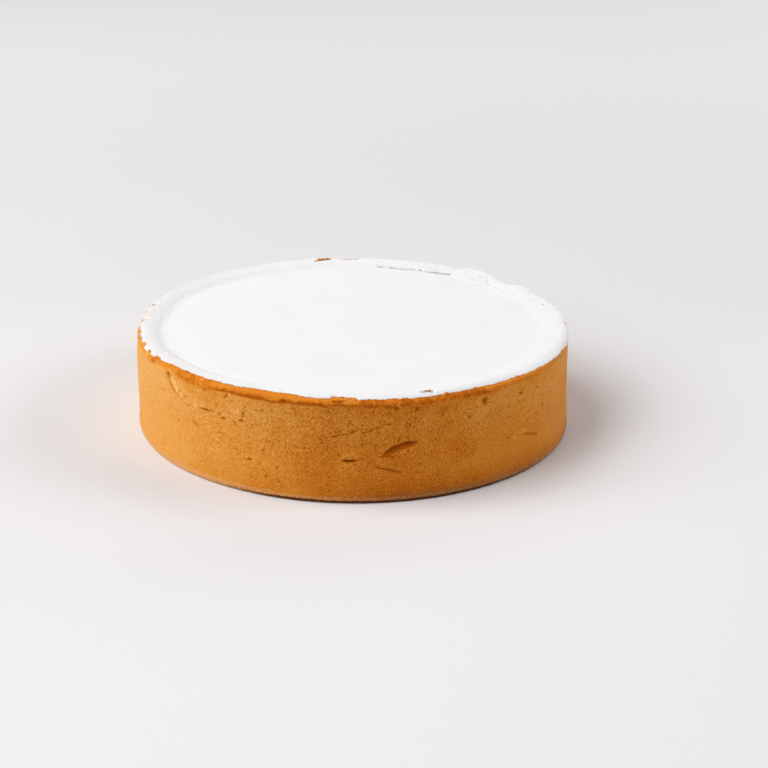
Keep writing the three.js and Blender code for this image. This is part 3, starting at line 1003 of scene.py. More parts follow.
@dataclass
class SugarCoat:
    """The icing sugar over the filling and the rim, with its broken edge on the lip."""

    shape: TartShape
    thickness: float = 1.4   # from the pastry to the sugar's surface, mm
    thinnest: float = 0.12   # least thickness, at its breaks, mm
    lift: float = 0.04       # the underside's distance from the pastry, mm
    front_edge: float = 2.1  # how far past the crest the sugar reaches at the front, mm
    side_edge: float = 5.4   # how far it reaches round the sides and the back, mm
    rim_rows: int = 46
    disc_step: float = 4.0   # distance between rings over the filling, mm

    def reach(self, angle: Array, crest_distance: float) -> Array:
        """How far along the rim's line the sugar reaches at each angle.

        Args:
            angle: degrees.
            crest_distance: distance along the line to the crest, in millimetres.

        Returns:
            Distances along the line, in millimetres.
        """
        around = ring_points(angle, self.shape.ring_radius, 40.0)
        ragged = 0.6 * SpaceNoise(91).layered(around, 7.0, 4, 0.75) + 0.35 * SpaceNoise(93).at(around, 1.1)
        front = FRONT_EDGE.share(angle)
        reach = crest_distance + self.side_edge + front * (self.front_edge - self.side_edge) + ragged
        for short in SHORT_EDGES:
            reach = reach - short.back * short.share(angle)
        return reach

    def _bare(self, angle: Array, radius: Array) -> tuple[Array, Array]:
        """Depth of the breaks in the sugar, in millimetres, and how bare they leave the pastry.

        Args:
            angle: degrees.
            radius: millimetres.

        Returns:
            Depth and bare share, each shaped like angle.
        """
        place = ring_points(angle, radius, 0.0)
        depth, bare = np.zeros(angle.shape), np.zeros(angle.shape)
        for line in BARE_LINES:
            knots = ring_points(*(np.array(column) for column in zip(*line.path)), 0.0)[:, :2]
            wander = [SpaceNoise(seed).layered(place, 2.4, 3, 0.7) for seed in (95, 97)]
            flat = place[..., :2] + line.ragged * np.stack(wander, -1)
            nearest = np.full(angle.shape, 1e9)
            for a, b in zip(knots[:-1], knots[1:]):
                step = b - a
                share = np.clip(((flat - a) @ step) / (step @ step), 0.0, 1.0)
                nearest = np.minimum(nearest, np.linalg.norm(flat - a - share[..., None] * step, axis=-1))
            dented = 1.0 - smoothstep(0.3 * line.width, 0.75 * line.width, nearest)
            cleared = 1.0 - smoothstep(0.3 * line.width, 0.6 * line.width, nearest)
            depth = np.maximum(depth, line.depth * dented)
            bare = np.maximum(bare, line.bare * cleared)
        return depth, bare

    def rim_sheet(self, angle: Array) -> tuple[Array, Array, Array]:
        """The sugar's underside and surface over the rim, from the filling out to its edge.

        Args:
            angle: degrees of the full ring.

        Returns:
            Points of the underside and of the surface, shape (rows, columns, 3), and the bare
            share of the surface, shape (rows, columns).
        """
        shape, rim = self.shape, self.shape.rim_profile()
        reach = self.reach(angle, rim.crest_distance())
        share = np.linspace(0.0, 1.0, self.rim_rows)[:, None]
        distance = share * reach
        around = np.broadcast_to(angle, distance.shape)

        def bed(at: Array) -> Array:
            """Radius and height of the pastry under the sugar."""
            return np.stack(shape.uneven(around, *rim.at(at)), axis=-1)

        here = bed(distance)
        slope = bed(distance + 0.3) - bed(np.maximum(distance - 0.3, 0.0))
        normal = np.stack([-slope[..., 1], slope[..., 0]], axis=-1)
        normal /= np.linalg.norm(normal, axis=-1, keepdims=True)
        place = ring_points(around, here[..., 0], here[..., 1])
        to_edge = reach - distance
        body = smoothstep(-0.6, 5.2, to_edge) ** 0.65
        lumps = SpaceNoise(101).layered(place, 3.6, 3, 0.65)
        on_rim = smoothstep(2.0, 8.0, distance)
        heaped = 0.34 + 0.5 * HEAPED_RIM.share(around)
        piled = heaped * lumps + 0.12 * SpaceNoise(103).at(place, 9.0)
        thick = self.thickness * body + on_rim * piled * body
        dents, bare = self._bare(around, here[..., 0])
        thick = np.maximum(thick - dents, self.thinnest)
        top = here + normal * thick[..., None]
        under = here + normal * self.lift
        return (ring_points(around, under[..., 0], under[..., 1]),
                ring_points(around, top[..., 0], top[..., 1]), bare)

    def _disc(self, radius: float, angle: Array, above: float) -> Array:
        """Makes one ring of the sugar over the filling.

        Args:
            radius: nominal radius, in millimetres.
            angle: degrees of the ring's points.
            above: distance above the filling, in millimetres.

        Returns:
            The ring's points, in millimetres.
        """
        top = self.shape.filling_top
        radii, heights = self.shape.uneven(angle, np.full(angle.shape, radius), np.full(angle.shape, top))
        place = ring_points(angle, radii, heights)
        ripple = 0.05 * SpaceNoise(105).layered(place, 8.0, 2) if above > 0.5 else 0.0
        return ring_points(angle, radii, heights + above + ripple)

    def build(self) -> Piece:
        """Builds the coat.

        Returns:
            The closed mesh, with its bare value.
        """
        angle = turns_round()
        under, top, bare = self.rim_sheet(angle)
        rings = self._disc_rings(self.shape.inner_foot - 4.0)
        mesh = RingMesh()
        mesh.add(self._disc(0.0, np.zeros(1), self.lift), bare=0.0)
        for radius, thin in rings[1::3]:
            mesh.add(self._disc(radius, angle[::thin], self.lift), bare=0.0)
        for row in (0, self.rim_rows // 2, self.rim_rows - 1):
            mesh.add(under[row], bare=0.0)
        for row in range(self.rim_rows - 1, -1, -1):
            mesh.add(top[row], bare=bare[row])
        for radius, thin in rings[::-1]:
            mesh.add(self._disc(radius, angle[::thin], self.thickness), bare=0.0)
        mesh.add(self._disc(0.0, np.zeros(1), self.thickness), bare=0.0)
        return mesh.build("icing_sugar_coat")

    def _disc_rings(self, outer: float) -> list[tuple[float, int]]:
        """Spaces the rings over the filling, with fewer points near the axis.

        Args:
            outer: radius that they lie inside, in millimetres.

        Returns:
            Radius and thinning of each ring, from the axis outwards.
        """
        rings = []
        radius = outer - self.disc_step
        while radius > self.disc_step:
            thin = 2 ** sum(radius <= share * outer for share in (0.75, 0.45, 0.2))
            rings.append((radius, thin))
            radius -= self.disc_step
        return rings[::-1]

    def dress(self, finish: "SugarFinish") -> Piece:
        """Builds the coat, finishes it and puts it in the frame.

        Args:
            finish: the finish.

        Returns:
            The coat, finished.
        """
        piece = self.build()
        piece.data.materials.append(finish.material())
        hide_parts("icing_sugar")
        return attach(piece, "root")


# ---- loose bits

@dataclass(frozen=True)
class Bit:
    """One loose lump: its middle and half width in millimetres, and how browned it is."""

    place: tuple[float, float, float]
    radius: float
    browning: float = 0.0


@dataclass
class LooseBits:
    """Many small uneven lumps of one kind, joined into one mesh."""

    name: str
    slot: Slot
    bits: list[Bit]
    seed: int
    roughness: float = 0.3  # how far a lump is from a ball

    def build(self) -> Piece:
        """Builds the lumps.

        Returns:
            One mesh object, with its browning value.
        """
        ball = bmesh.new()
        bmesh.ops.create_icosphere(ball, subdivisions=2, radius=1.0)
        corners = np.array([vertex.co[:] for vertex in ball.verts])
        sides = np.array([[vertex.index for vertex in face.verts] for face in ball.faces])
        ball.free()
        random = np.random.default_rng(self.seed)
        noise = SpaceNoise(self.seed)
        points, faces = [], []
        for number, bit in enumerate(self.bits):
            turn, _ = np.linalg.qr(random.normal(size=(3, 3)))
            if np.linalg.det(turn) < 0:
                turn[:, 0] *= -1
            bulge = 1.0 + self.roughness * noise.layered(corners + 7.0 * number, 1.1, 2)
            stretch = random.uniform(0.75, 1.3, size=3)
            lump = (corners * bulge[:, None] * stretch) @ turn.T * bit.radius + np.array(bit.place)
            lump[:, 2] = np.maximum(lump[:, 2], 0.0)
            points.append(lump)
            faces.append(sides + number * len(corners))
        piece = mesh_object(self.name, np.vstack(points), np.vstack(faces).tolist())
        browning = np.repeat([bit.browning for bit in self.bits], len(corners))
        store_value(piece, "browning", browning)
        return piece

    def dress(self, finish: "PastryFinish | SugarFinish") -> Piece:
        """Builds the lumps, finishes them and puts them in the frame.

        Args:
            finish: the finish.

        Returns:
            The lumps, finished.
        """
        piece = self.build()
        piece.data.materials.append(finish.material())
        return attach(piece, "root")


@dataclass(frozen=True)
class RimScatter:
    """Crumbs strewn at random over a stretch of the rim."""

    count: int
    angle: Pair   # degrees, from and to
    out: Pair     # mm past the crest, from and to
    sunk: float   # mm below the sugar's surface
    radius: Pair  # mm, from and to


SKYLINE_CRUMBS = RimScatter(24, angle=(88.8, 94.2), out=(-0.9, 0.2), sunk=0.1, radius=(0.18, 0.28))
NICK_CRUMBS = RimScatter(12, angle=(-71.4, -69.2), out=(-3.9, -2.9), sunk=0.2, radius=(0.2, 0.32))
LEFT_OUTLINE_CRUMBS = (156.3, 161.3, 161.9, 166.4, 167.2, 172.0, 173.1, 178.6, 179.6, -176.5, -172.0, -167.0)

# angle and radius of the larger crumbs under the sugar's edge
LIP_CRUMBS: Path = (
    (-92.6, 0.7), (-77.6, 0.95), (-76.6, 0.7), (-65.9, 0.9), (-57.6, 1), (-43.3, 0.9), (-160.5, 0.8),
    (-157, 0.7), (-168, 0.7), (-172, 0.6), (173, 0.7), (166, 0.6), (0.3, 0.6))

# angle, height and radius of the sugar that stuck high on the wall
STUCK_SUGAR: tuple[tuple[float, float, float], ...] = (
    (-121.5, 52, 0.32), (-152.8, 54, 0.36), (-149.6, 54.4, 0.3), (-156, 54.6, 0.3))


@dataclass
class CrumbLayout:
    """Works out where the loose sugar, the pastry crumbs and the floury foot crumbs lie."""

    shape: TartShape
    coat: SugarCoat
    seed: int = 23
    lumps: int = 480      # on the sugared rim
    foot_sugar: int = 80  # grains of sugar at the foot of the front
    wall_sugar: int = 14  # and on the sides and back of the wall
    torn_bits: int = 26   # in the torn bit of crust at the back
    torn_browning: float = 0.05
    lip_bits: int = 220   # crumbs all round under the sugar's edge
    left_bits: int = 60   # and more of them at the left
    lip_browning: float = 0.4
    foot_bits: int = 520  # floury crumbs round the foot

    def sugar_lumps(self) -> list[Bit]:
        """Strews lumps of sugar on the rim, thickest at the broken edge and the heaped back right.

        Returns:
            The lumps.
        """
        random = np.random.default_rng(self.seed)
        angle = turns_round()
        _, top, bare = self.coat.rim_sheet(angle)
        bits = []
        while len(bits) < self.lumps:
            column = random.integers(SIDES)
            row = int(self.coat.rim_rows * min(random.beta(3.2, 1.1), 0.999))
            heaped = 1.0 if 8 < angle[column] < 64 else 0.3
            if random.uniform() > heaped or bare[row, column] > 0.2:
                continue
            radius = random.uniform(0.2, 0.4) + 0.6 * heaped * heaped * random.uniform() ** 3
            bits.append(Bit(tuple(top[row, column] - [0, 0, 0.55 * radius]), radius))
        return bits

    def stuck_sugar(self) -> list[Bit]:
        """Strews single crumbs of sugar that fell on the wall and stuck.

        Returns:
            The crumbs.
        """
        random = np.random.default_rng(self.seed + 1)
        bits = [self._on_wall(angle, height, radius) for angle, height, radius in STUCK_SUGAR]
        for _ in range(self.foot_sugar):
            angle, height = random.uniform(-125, -20), 1.7 + random.exponential(0.5)
            bits.append(self._on_foot(angle, height, random.uniform(0.1, 0.2)))
        for _ in range(self.wall_sugar):
            fallen = random.beta(1.2, 3.0) * self.shape.crest
            angle, height = random.uniform(-20, 210), self.shape.crest - 2.5 - fallen
            bits.append(self._on_wall(angle, height, random.uniform(0.12, 0.24)))
        return bits

    def _on_wall(self, angle: float, height: float, radius: float) -> Bit:
        """A bit half sunk in the outer wall."""
        wall, _ = self.shape.uneven(angle, self.shape.ring_radius, height)
        return Bit(tuple(ring_points(angle, wall + 0.1, max(height, radius))), radius)

    def _on_foot(self, angle: float, height: float, radius: float) -> Bit:
        """A bit half sunk in the foot of the wall."""
        wall, _ = self.shape.uneven(angle, self.shape.ring_radius + self.shape.foot_spread - 0.03 * height,
                                    height)
        return Bit(tuple(ring_points(angle, wall - 0.25 * radius, height)), radius)

    def _at_distance(self, angle: float, distance: Array) -> Array:
        """The point of the rim at an angle and a distance along its line."""
        spot = np.array([angle])
        return ring_points(spot, *self.shape.uneven(spot, *self.shape.rim_profile().at(distance)))[0]

    def _on_rim(self, angle: float, out: float, lift: float, radius: float, browning: float = 0.0) -> Bit:
        """Lays a bit on the rim.

        Args:
            angle: degrees.
            out: millimetres past the crest.
            lift: millimetres above the pastry.
            radius: half width of the bit, in millimetres.
            browning: how browned it is.

        Returns:
            The bit.
        """
        crest = self.shape.rim_profile().crest_distance()
        place = self._at_distance(angle, crest + np.array([out]))
        return Bit(tuple(place + [0, 0, lift]), radius, browning)

    def _strewn(self, random: np.random.Generator, scatter: RimScatter) -> list[Bit]:
        """Strews crumbs over a stretch of the rim.

        Args:
            random: the source of their places and sizes.
            scatter: how many there are, and where.

        Returns:
            The crumbs.
        """
        return [self._on_rim(random.uniform(*scatter.angle), random.uniform(*scatter.out),
                             self.coat.thickness - scatter.sunk, random.uniform(*scatter.radius))
                for _ in range(scatter.count)]

    def perched_crumbs(self) -> list[Bit]:
        """Lays the torn bit of crust at the back, and crumbs on the skyline, nick and left of the rim.

        Returns:
            The crumbs.
        """
        random = np.random.default_rng(self.seed + 5)
        bits = []
        for _ in range(self.torn_bits):
            share = random.uniform()
            out = 0.4 - 3.4 * share + random.uniform(-0.6, 0.6)
            bits.append(self._on_rim(96.8 + 4.4 * share, out, self.coat.thickness + 0.1,
                                     random.uniform(0.35, 0.62), self.torn_browning))
        bits += self._strewn(random, SKYLINE_CRUMBS) + self._strewn(random, NICK_CRUMBS)
        for angle in LEFT_OUTLINE_CRUMBS:
            out, radius = 3.6 + random.uniform(-0.3, 0.6), random.uniform(0.45, 0.75)
            bits.append(self._on_rim(angle, out, 0.3, radius))
        return bits

    def pastry_crumbs(self) -> list[Bit]:
        """Lays browned crumbs on the lip, just under the sugar's edge.

        Returns:
            The crumbs.
        """
        random = np.random.default_rng(self.seed + 2)
        spots = list(LIP_CRUMBS)
        spots += [(random.uniform(-180, 180), random.uniform(0.16, 0.4)) for _ in range(self.lip_bits)]
        spots += [(random.uniform(-170, -118), random.uniform(0.18, 0.45)) for _ in range(self.left_bits)]
        crest = self.shape.rim_profile().crest_distance()
        bits = []
        for angle, radius in spots:
            edge = self.coat.reach(np.array([angle]), crest)
            place = self._at_distance(angle, edge + 0.5 * radius)
            bits.append(Bit(tuple(place + [0, 0, 0.25 * radius]), radius, self.lip_browning))
        return bits

    def foot_crumbs(self) -> list[Bit]:
        """Strews floury crumbs along the foot of the wall, above its dark bottom edge.

        Returns:
            The crumbs.
        """
        random = np.random.default_rng(self.seed + 3)
        bits = []
        for _ in range(self.foot_bits):
            radius = random.uniform(0.16, 0.3) + 0.14 * random.uniform() ** 4
            bits.append(self._on_foot(random.uniform(-180, 180), 2.1 + random.exponential(0.5), radius))
        return bits


# ---- node work

Node = bpy.types.Node
Tree = bpy.types.NodeTree
Socket = bpy.types.NodeSocket
Input = Socket | float | tuple


class NodeBench:
    """Adds and joins the nodes of one tree."""

    def __init__(self, tree: Tree) -> None:
        """Works on a tree, which keeps the nodes it has."""
        self.tree = tree

    def add(self, kind: str, inputs: dict[str | int, Input] | None = None,
            **settings: object) -> Node:
        """Adds a node.

        Args:
            kind: the node's type name.
            inputs: a value, or a socket to join, for each input by name or number.
            settings: the node's other properties.

        Returns:
            The new node.
        """
        node = self.tree.nodes.new(kind)
        for name, value in settings.items():
            setattr(node, name, value)
        return self.feed(node, inputs or {})

    def feed(self, node: Node, inputs: dict[str | int, Input]) -> Node:
        """Feeds inputs of a node.

        Args:
            node: the node.
            inputs: a value, or a socket to join, for each input by name or number.

        Returns:
            The node.
        """
        for name, value in inputs.items():
            if isinstance(value, Socket):
                self.tree.links.new(value, node.inputs[name])
            else:
                node.inputs[name].default_value = value
        return node

    def math(self, operation: str, a: Input, b: Input = 0.0, c: Input = 0.0, clamp: bool = False) -> Socket:
        """The result of one sum, which takes c only for MULTIPLY_ADD."""
        node = self.add("ShaderNodeMath", {0: a, 1: b, 2: c}, operation=operation, use_clamp=clamp)
        return node.outputs[0]

    def times(self, first: Input, *others: Input, clamp: bool = False) -> Socket:
        """The product of two or more numbers.

        Args:
            first: the first of them.
            others: the rest.
            clamp: True keeps the product between 0 and 1.

        Returns:
            The product.
        """
        for other in others:
            first = self.math("MULTIPLY", first, other, clamp=clamp)
        return first

    def split(self, place: Socket) -> bpy.types.bpy_prop_collection:
        """The X, Y and Z of a place."""
        return self.add("ShaderNodeSeparateXYZ", {0: place}).outputs

    def scaled(self, vector: Socket, size: float, squash: float = 1.0) -> Socket:
        """A place in metres counted in steps of size millimetres, squash times as fine upwards."""
        step = 1.0 / (size * MM)
        return self.add("ShaderNodeVectorMath", {0: vector, 1: (step, step, step * squash)},
                        operation="MULTIPLY").outputs[0]

    def noise(self, vector: Socket, detail: float = 3.0, roughness: float = 0.55) -> Socket:
        """Smooth noise from 0 to 1."""
        return self.add("ShaderNodeTexNoise", {"Vector": vector, "Scale": 1.0, "Detail": detail,
                                               "Roughness": roughness}).outputs["Fac"]

    def ease(self, value: Input, low: float, high: float,
             to_low: float = 0.0, to_high: float = 1.0) -> Socket:
        """Value eased from low and high to to_low and to_high."""
        return self.add("ShaderNodeMapRange", {"Value": value, "From Min": low, "From Max": high,
                                               "To Min": to_low, "To Max": to_high},
                        interpolation_type="SMOOTHSTEP").outputs["Result"]

    def blend(self, share: Input, a: Input, b: Input, mode: str = "MIX") -> Socket:
        """Colour a turned towards colour b by a share from 0 to 1; mode tells how b is laid over a."""
        node = self.add("ShaderNodeMix", data_type="RGBA", blend_type=mode)
        return self.feed(node, {0: share, 6: a, 7: b}).outputs[2]

    def ramp(self, value: Input, stops: tuple[tuple[float, Colour], ...]) -> Socket:
        """The colour that value falls on in a row of stops.

        Args:
            value: a number from 0 to 1.
            stops: each colour with its place from 0 to 1.

        Returns:
            The colour.
        """
        node = self.add("ShaderNodeValToRGB", {"Fac": value})
        for _ in stops[2:]:
            node.color_ramp.elements.new(0.5)
        for element, (position, colour) in zip(node.color_ramp.elements, stops):
            element.position = position
            element.color = rgba(colour)
        return node.outputs["Color"]

    def attribute(self, name: str) -> Socket:
        """A number that the mesh holds at each point."""
        return self.add("ShaderNodeAttribute", attribute_name=name).outputs["Fac"]

    def group(self, tree: Tree, inputs: dict[str | int, Input]) -> Node:
        """Places a node group, with its inputs by name."""
        return self.add("ShaderNodeGroup", inputs, node_tree=tree)

    def dress(self, shader: Node, colour: Socket, roughness: Socket, height: Socket,
              relief: float, specular: float, hollow: bool = False) -> None:
        """Joins a finish to its Principled shader.

        Args:
            shader: the shader.
            colour: the base colour.
            roughness: how rough it is, from 0 to 1.
            height: the fine relief that the bump takes.
            relief: how high that relief is, in millimetres.
            specular: strength of the shine.
            hollow: True when height counts inwards.
        """
        bump = self.add("ShaderNodeBump", {"Height": height, "Distance": relief * MM}, invert=hollow)
        self.feed(shader, {"Base Color": colour, "Roughness": roughness, "Specular IOR Level": specular,
                           "Normal": bump.outputs["Normal"]})


def rgba(colour: Colour) -> tuple[float, float, float, float]:
    """A colour with full alpha."""
    return (*colour, 1.0)


class Kind(Enum):
    """What a socket of a node group carries."""

    NUMBER = "NodeSocketFloat"
    COLOUR = "NodeSocketColor"
    PLACE = "NodeSocketVector"


Sockets = dict[str, Kind]


def start_group(name: str, inputs: Sockets, outputs: Sockets) -> tuple[NodeBench, Node, Node]:
    """Starts a node group.

    Args:
        name: the group's name.
        inputs: what each named input carries.
        outputs: what each named output carries.

    Returns:
        The bench on its tree, its input node and its output node.
    """
    tree = bpy.data.node_groups.new(name, "ShaderNodeTree")
    for way, sockets in (("INPUT", inputs), ("OUTPUT", outputs)):
        for socket, kind in sockets.items():
            tree.interface.new_socket(name=socket, in_out=way, socket_type=kind.value)
    bench = NodeBench(tree)
    return bench, bench.add("NodeGroupInput"), bench.add("NodeGroupOutput")


class Effects:
    """The node groups that more than one finish uses, each built once."""

    def __init__(self) -> None:
        """Builds the groups."""
        self.crust_grain = self._crust_grain()
        self.baked_colour = self._baked_colour()
        self.sifted_sugar = self._sifted_sugar()

    def _crust_grain(self) -> Tree:
        """Builds the crumb grain, pores and pale flecks of baked shortcrust.

        Returns:
            The group.
        """
        bench, given, result = start_group(
            "crust_grain", {"Place": Kind.PLACE, "Pore Amount": Kind.NUMBER},
            dict.fromkeys(("Grain", "Pores", "Flecks", "Height"), Kind.NUMBER))
        place = given.outputs["Place"]
        grain = bench.ease(bench.noise(bench.scaled(place, 0.8, 1.15), 3.0, 0.75), 0.3, 0.7)
        patch = bench.ease(bench.noise(bench.scaled(place, 13.0), 2.0), 0.3, 0.7, 0.45, 1.25)
        reach = bench.times(given.outputs["Pore Amount"], patch)
        fine = bench.times(self._pits(bench, place, 1.7, 0.36), reach, clamp=True)
        wide = bench.times(self._pits(bench, place, 4.3, 0.2), reach, clamp=True)
        pores = bench.math("MAXIMUM", fine, wide)
        flecks = self._pits(bench, place, 1.5, 0.3)
        height = bench.math("SUBTRACT", bench.times(grain, 0.55), pores)
        height = bench.math("ADD", height, bench.times(flecks, 0.3))
        bench.feed(result, {"Grain": grain, "Pores": pores, "Flecks": flecks, "Height": height})
        return bench.tree

    @staticmethod
    def _pits(bench: NodeBench, place: Socket, spacing: float, widest: float) -> Socket:
        """Round spots of mixed sizes, 1 at their middles.

        Args:
            bench: the bench that the nodes go on.
            place: where on the object, in metres.
            spacing: distance from spot to spot, in millimetres.
            widest: radius of the widest spot, in spacings.

        Returns:
            A number from 0 to 1.
        """
        moved = bench.add("ShaderNodeVectorMath", {0: bench.scaled(place, spacing), 1: (spacing, 2.3, 5.1)},
                          operation="ADD").outputs[0]
        cells = bench.add("ShaderNodeTexVoronoi", {"Vector": moved, "Scale": 1.0, "Randomness": 1.0},
                          voronoi_dimensions="3D")
        pick = bench.add("ShaderNodeSeparateColor", {0: cells.outputs["Color"]}).outputs[0]
        radius = bench.math("MULTIPLY_ADD", bench.math("POWER", pick, 2.0), widest, 0.06)
        away = bench.math("DIVIDE", cells.outputs["Distance"], radius)
        return bench.math("SUBTRACT", 1.0, away, clamp=True)

    def _baked_colour(self) -> Tree:
        """Builds the colours that shortcrust goes through as it bakes, from pale gold to deep brown.

        Returns:
            The group.
        """
        bench, given, result = start_group("baked_colour", {"Bake": Kind.NUMBER}, {"Colour": Kind.COLOUR})
        stops = ((0.0, (0.925, 0.472, 0.138)), (0.2, (0.898, 0.388, 0.068)), (0.35, (0.835, 0.31, 0.034)),
                 (0.5, (0.745, 0.236, 0.017)), (0.65, (0.65, 0.172, 0.006)), (0.8, (0.50, 0.116, 0.002)),
                 (1.0, (0.21, 0.042, 0.001)))
        bench.feed(result, {"Colour": bench.ramp(given.outputs["Bake"], stops)})
        return bench.tree

    def _sifted_sugar(self) -> Tree:
        """Builds sifted icing sugar: its grain, and where a thin dusting covers what is under it.

        Returns:
            The group.
        """
        bench, given, result = start_group(
            "sifted_sugar", {"Place": Kind.PLACE, "Amount": Kind.NUMBER},
            dict.fromkeys(("Cover", "Tone", "Height"), Kind.NUMBER))
        place = given.outputs["Place"]
        clumps = bench.noise(bench.scaled(place, 1.1), 4.0, 0.75)
        drift = bench.noise(bench.scaled(place, 26.0), 3.0, 0.5)
        powder = bench.noise(bench.scaled(place, 0.45), 2.0, 0.6)
        needed = bench.math("SUBTRACT", 1.0, given.outputs["Amount"])
        cover = bench.times(bench.math("SUBTRACT", clumps, needed), 9.0, clamp=True)
        height = bench.math("ADD", bench.times(clumps, 0.7), bench.times(powder, 0.3))
        bench.feed(result, {"Cover": cover, "Tone": drift, "Height": height})
        return bench.tree


# ---- finishes

def start_material(name: str) -> tuple[bpy.types.Material, NodeBench, Node, Socket]:
    """Starts a material with a Principled shader.

    Args:
        name: the material's name.

    Returns:
        The material, the bench on its tree, its shader and the place on the object, in metres.
    """
    material = bpy.data.materials.new(name)
    material.use_nodes = True
    material.node_tree.nodes.clear()
    bench = NodeBench(material.node_tree)
    shader = bench.add("ShaderNodeBsdfPrincipled")
    bench.add("ShaderNodeOutputMaterial", {"Surface": shader.outputs["BSDF"]})
    place = bench.add("ShaderNodeTexCoord").outputs["Object"]
    return material, bench, shader, place


class Axis(Enum):
    """The way that a change of finish runs."""

    X = 0  # to the tart's right
    Z = 2  # up


@dataclass(frozen=True)
class Fade:
    """A number that eases from one value to another across the tart or up its wall."""

    axis: Axis
    start: float        # mm
    end: float          # mm
    first: float = 0.0  # value at start
    last: float = 1.0   # value at end


Fades = tuple[Fade, ...]


def faded(bench: NodeBench, place: Socket, fades: Fades, *others: Input) -> Socket:
    """The product of several fades, and of other numbers before them.

    Args:
        bench: the bench on the material's tree.
        place: where on the object, in metres.
        fades: the fades.
        others: the other numbers.

    Returns:
        The product at each place.
    """
    parts = bench.split(place)
    return bench.times(*others, *(bench.ease(parts[fade.axis.value], fade.start * MM, fade.end * MM,
                                             fade.first, fade.last) for fade in fades))


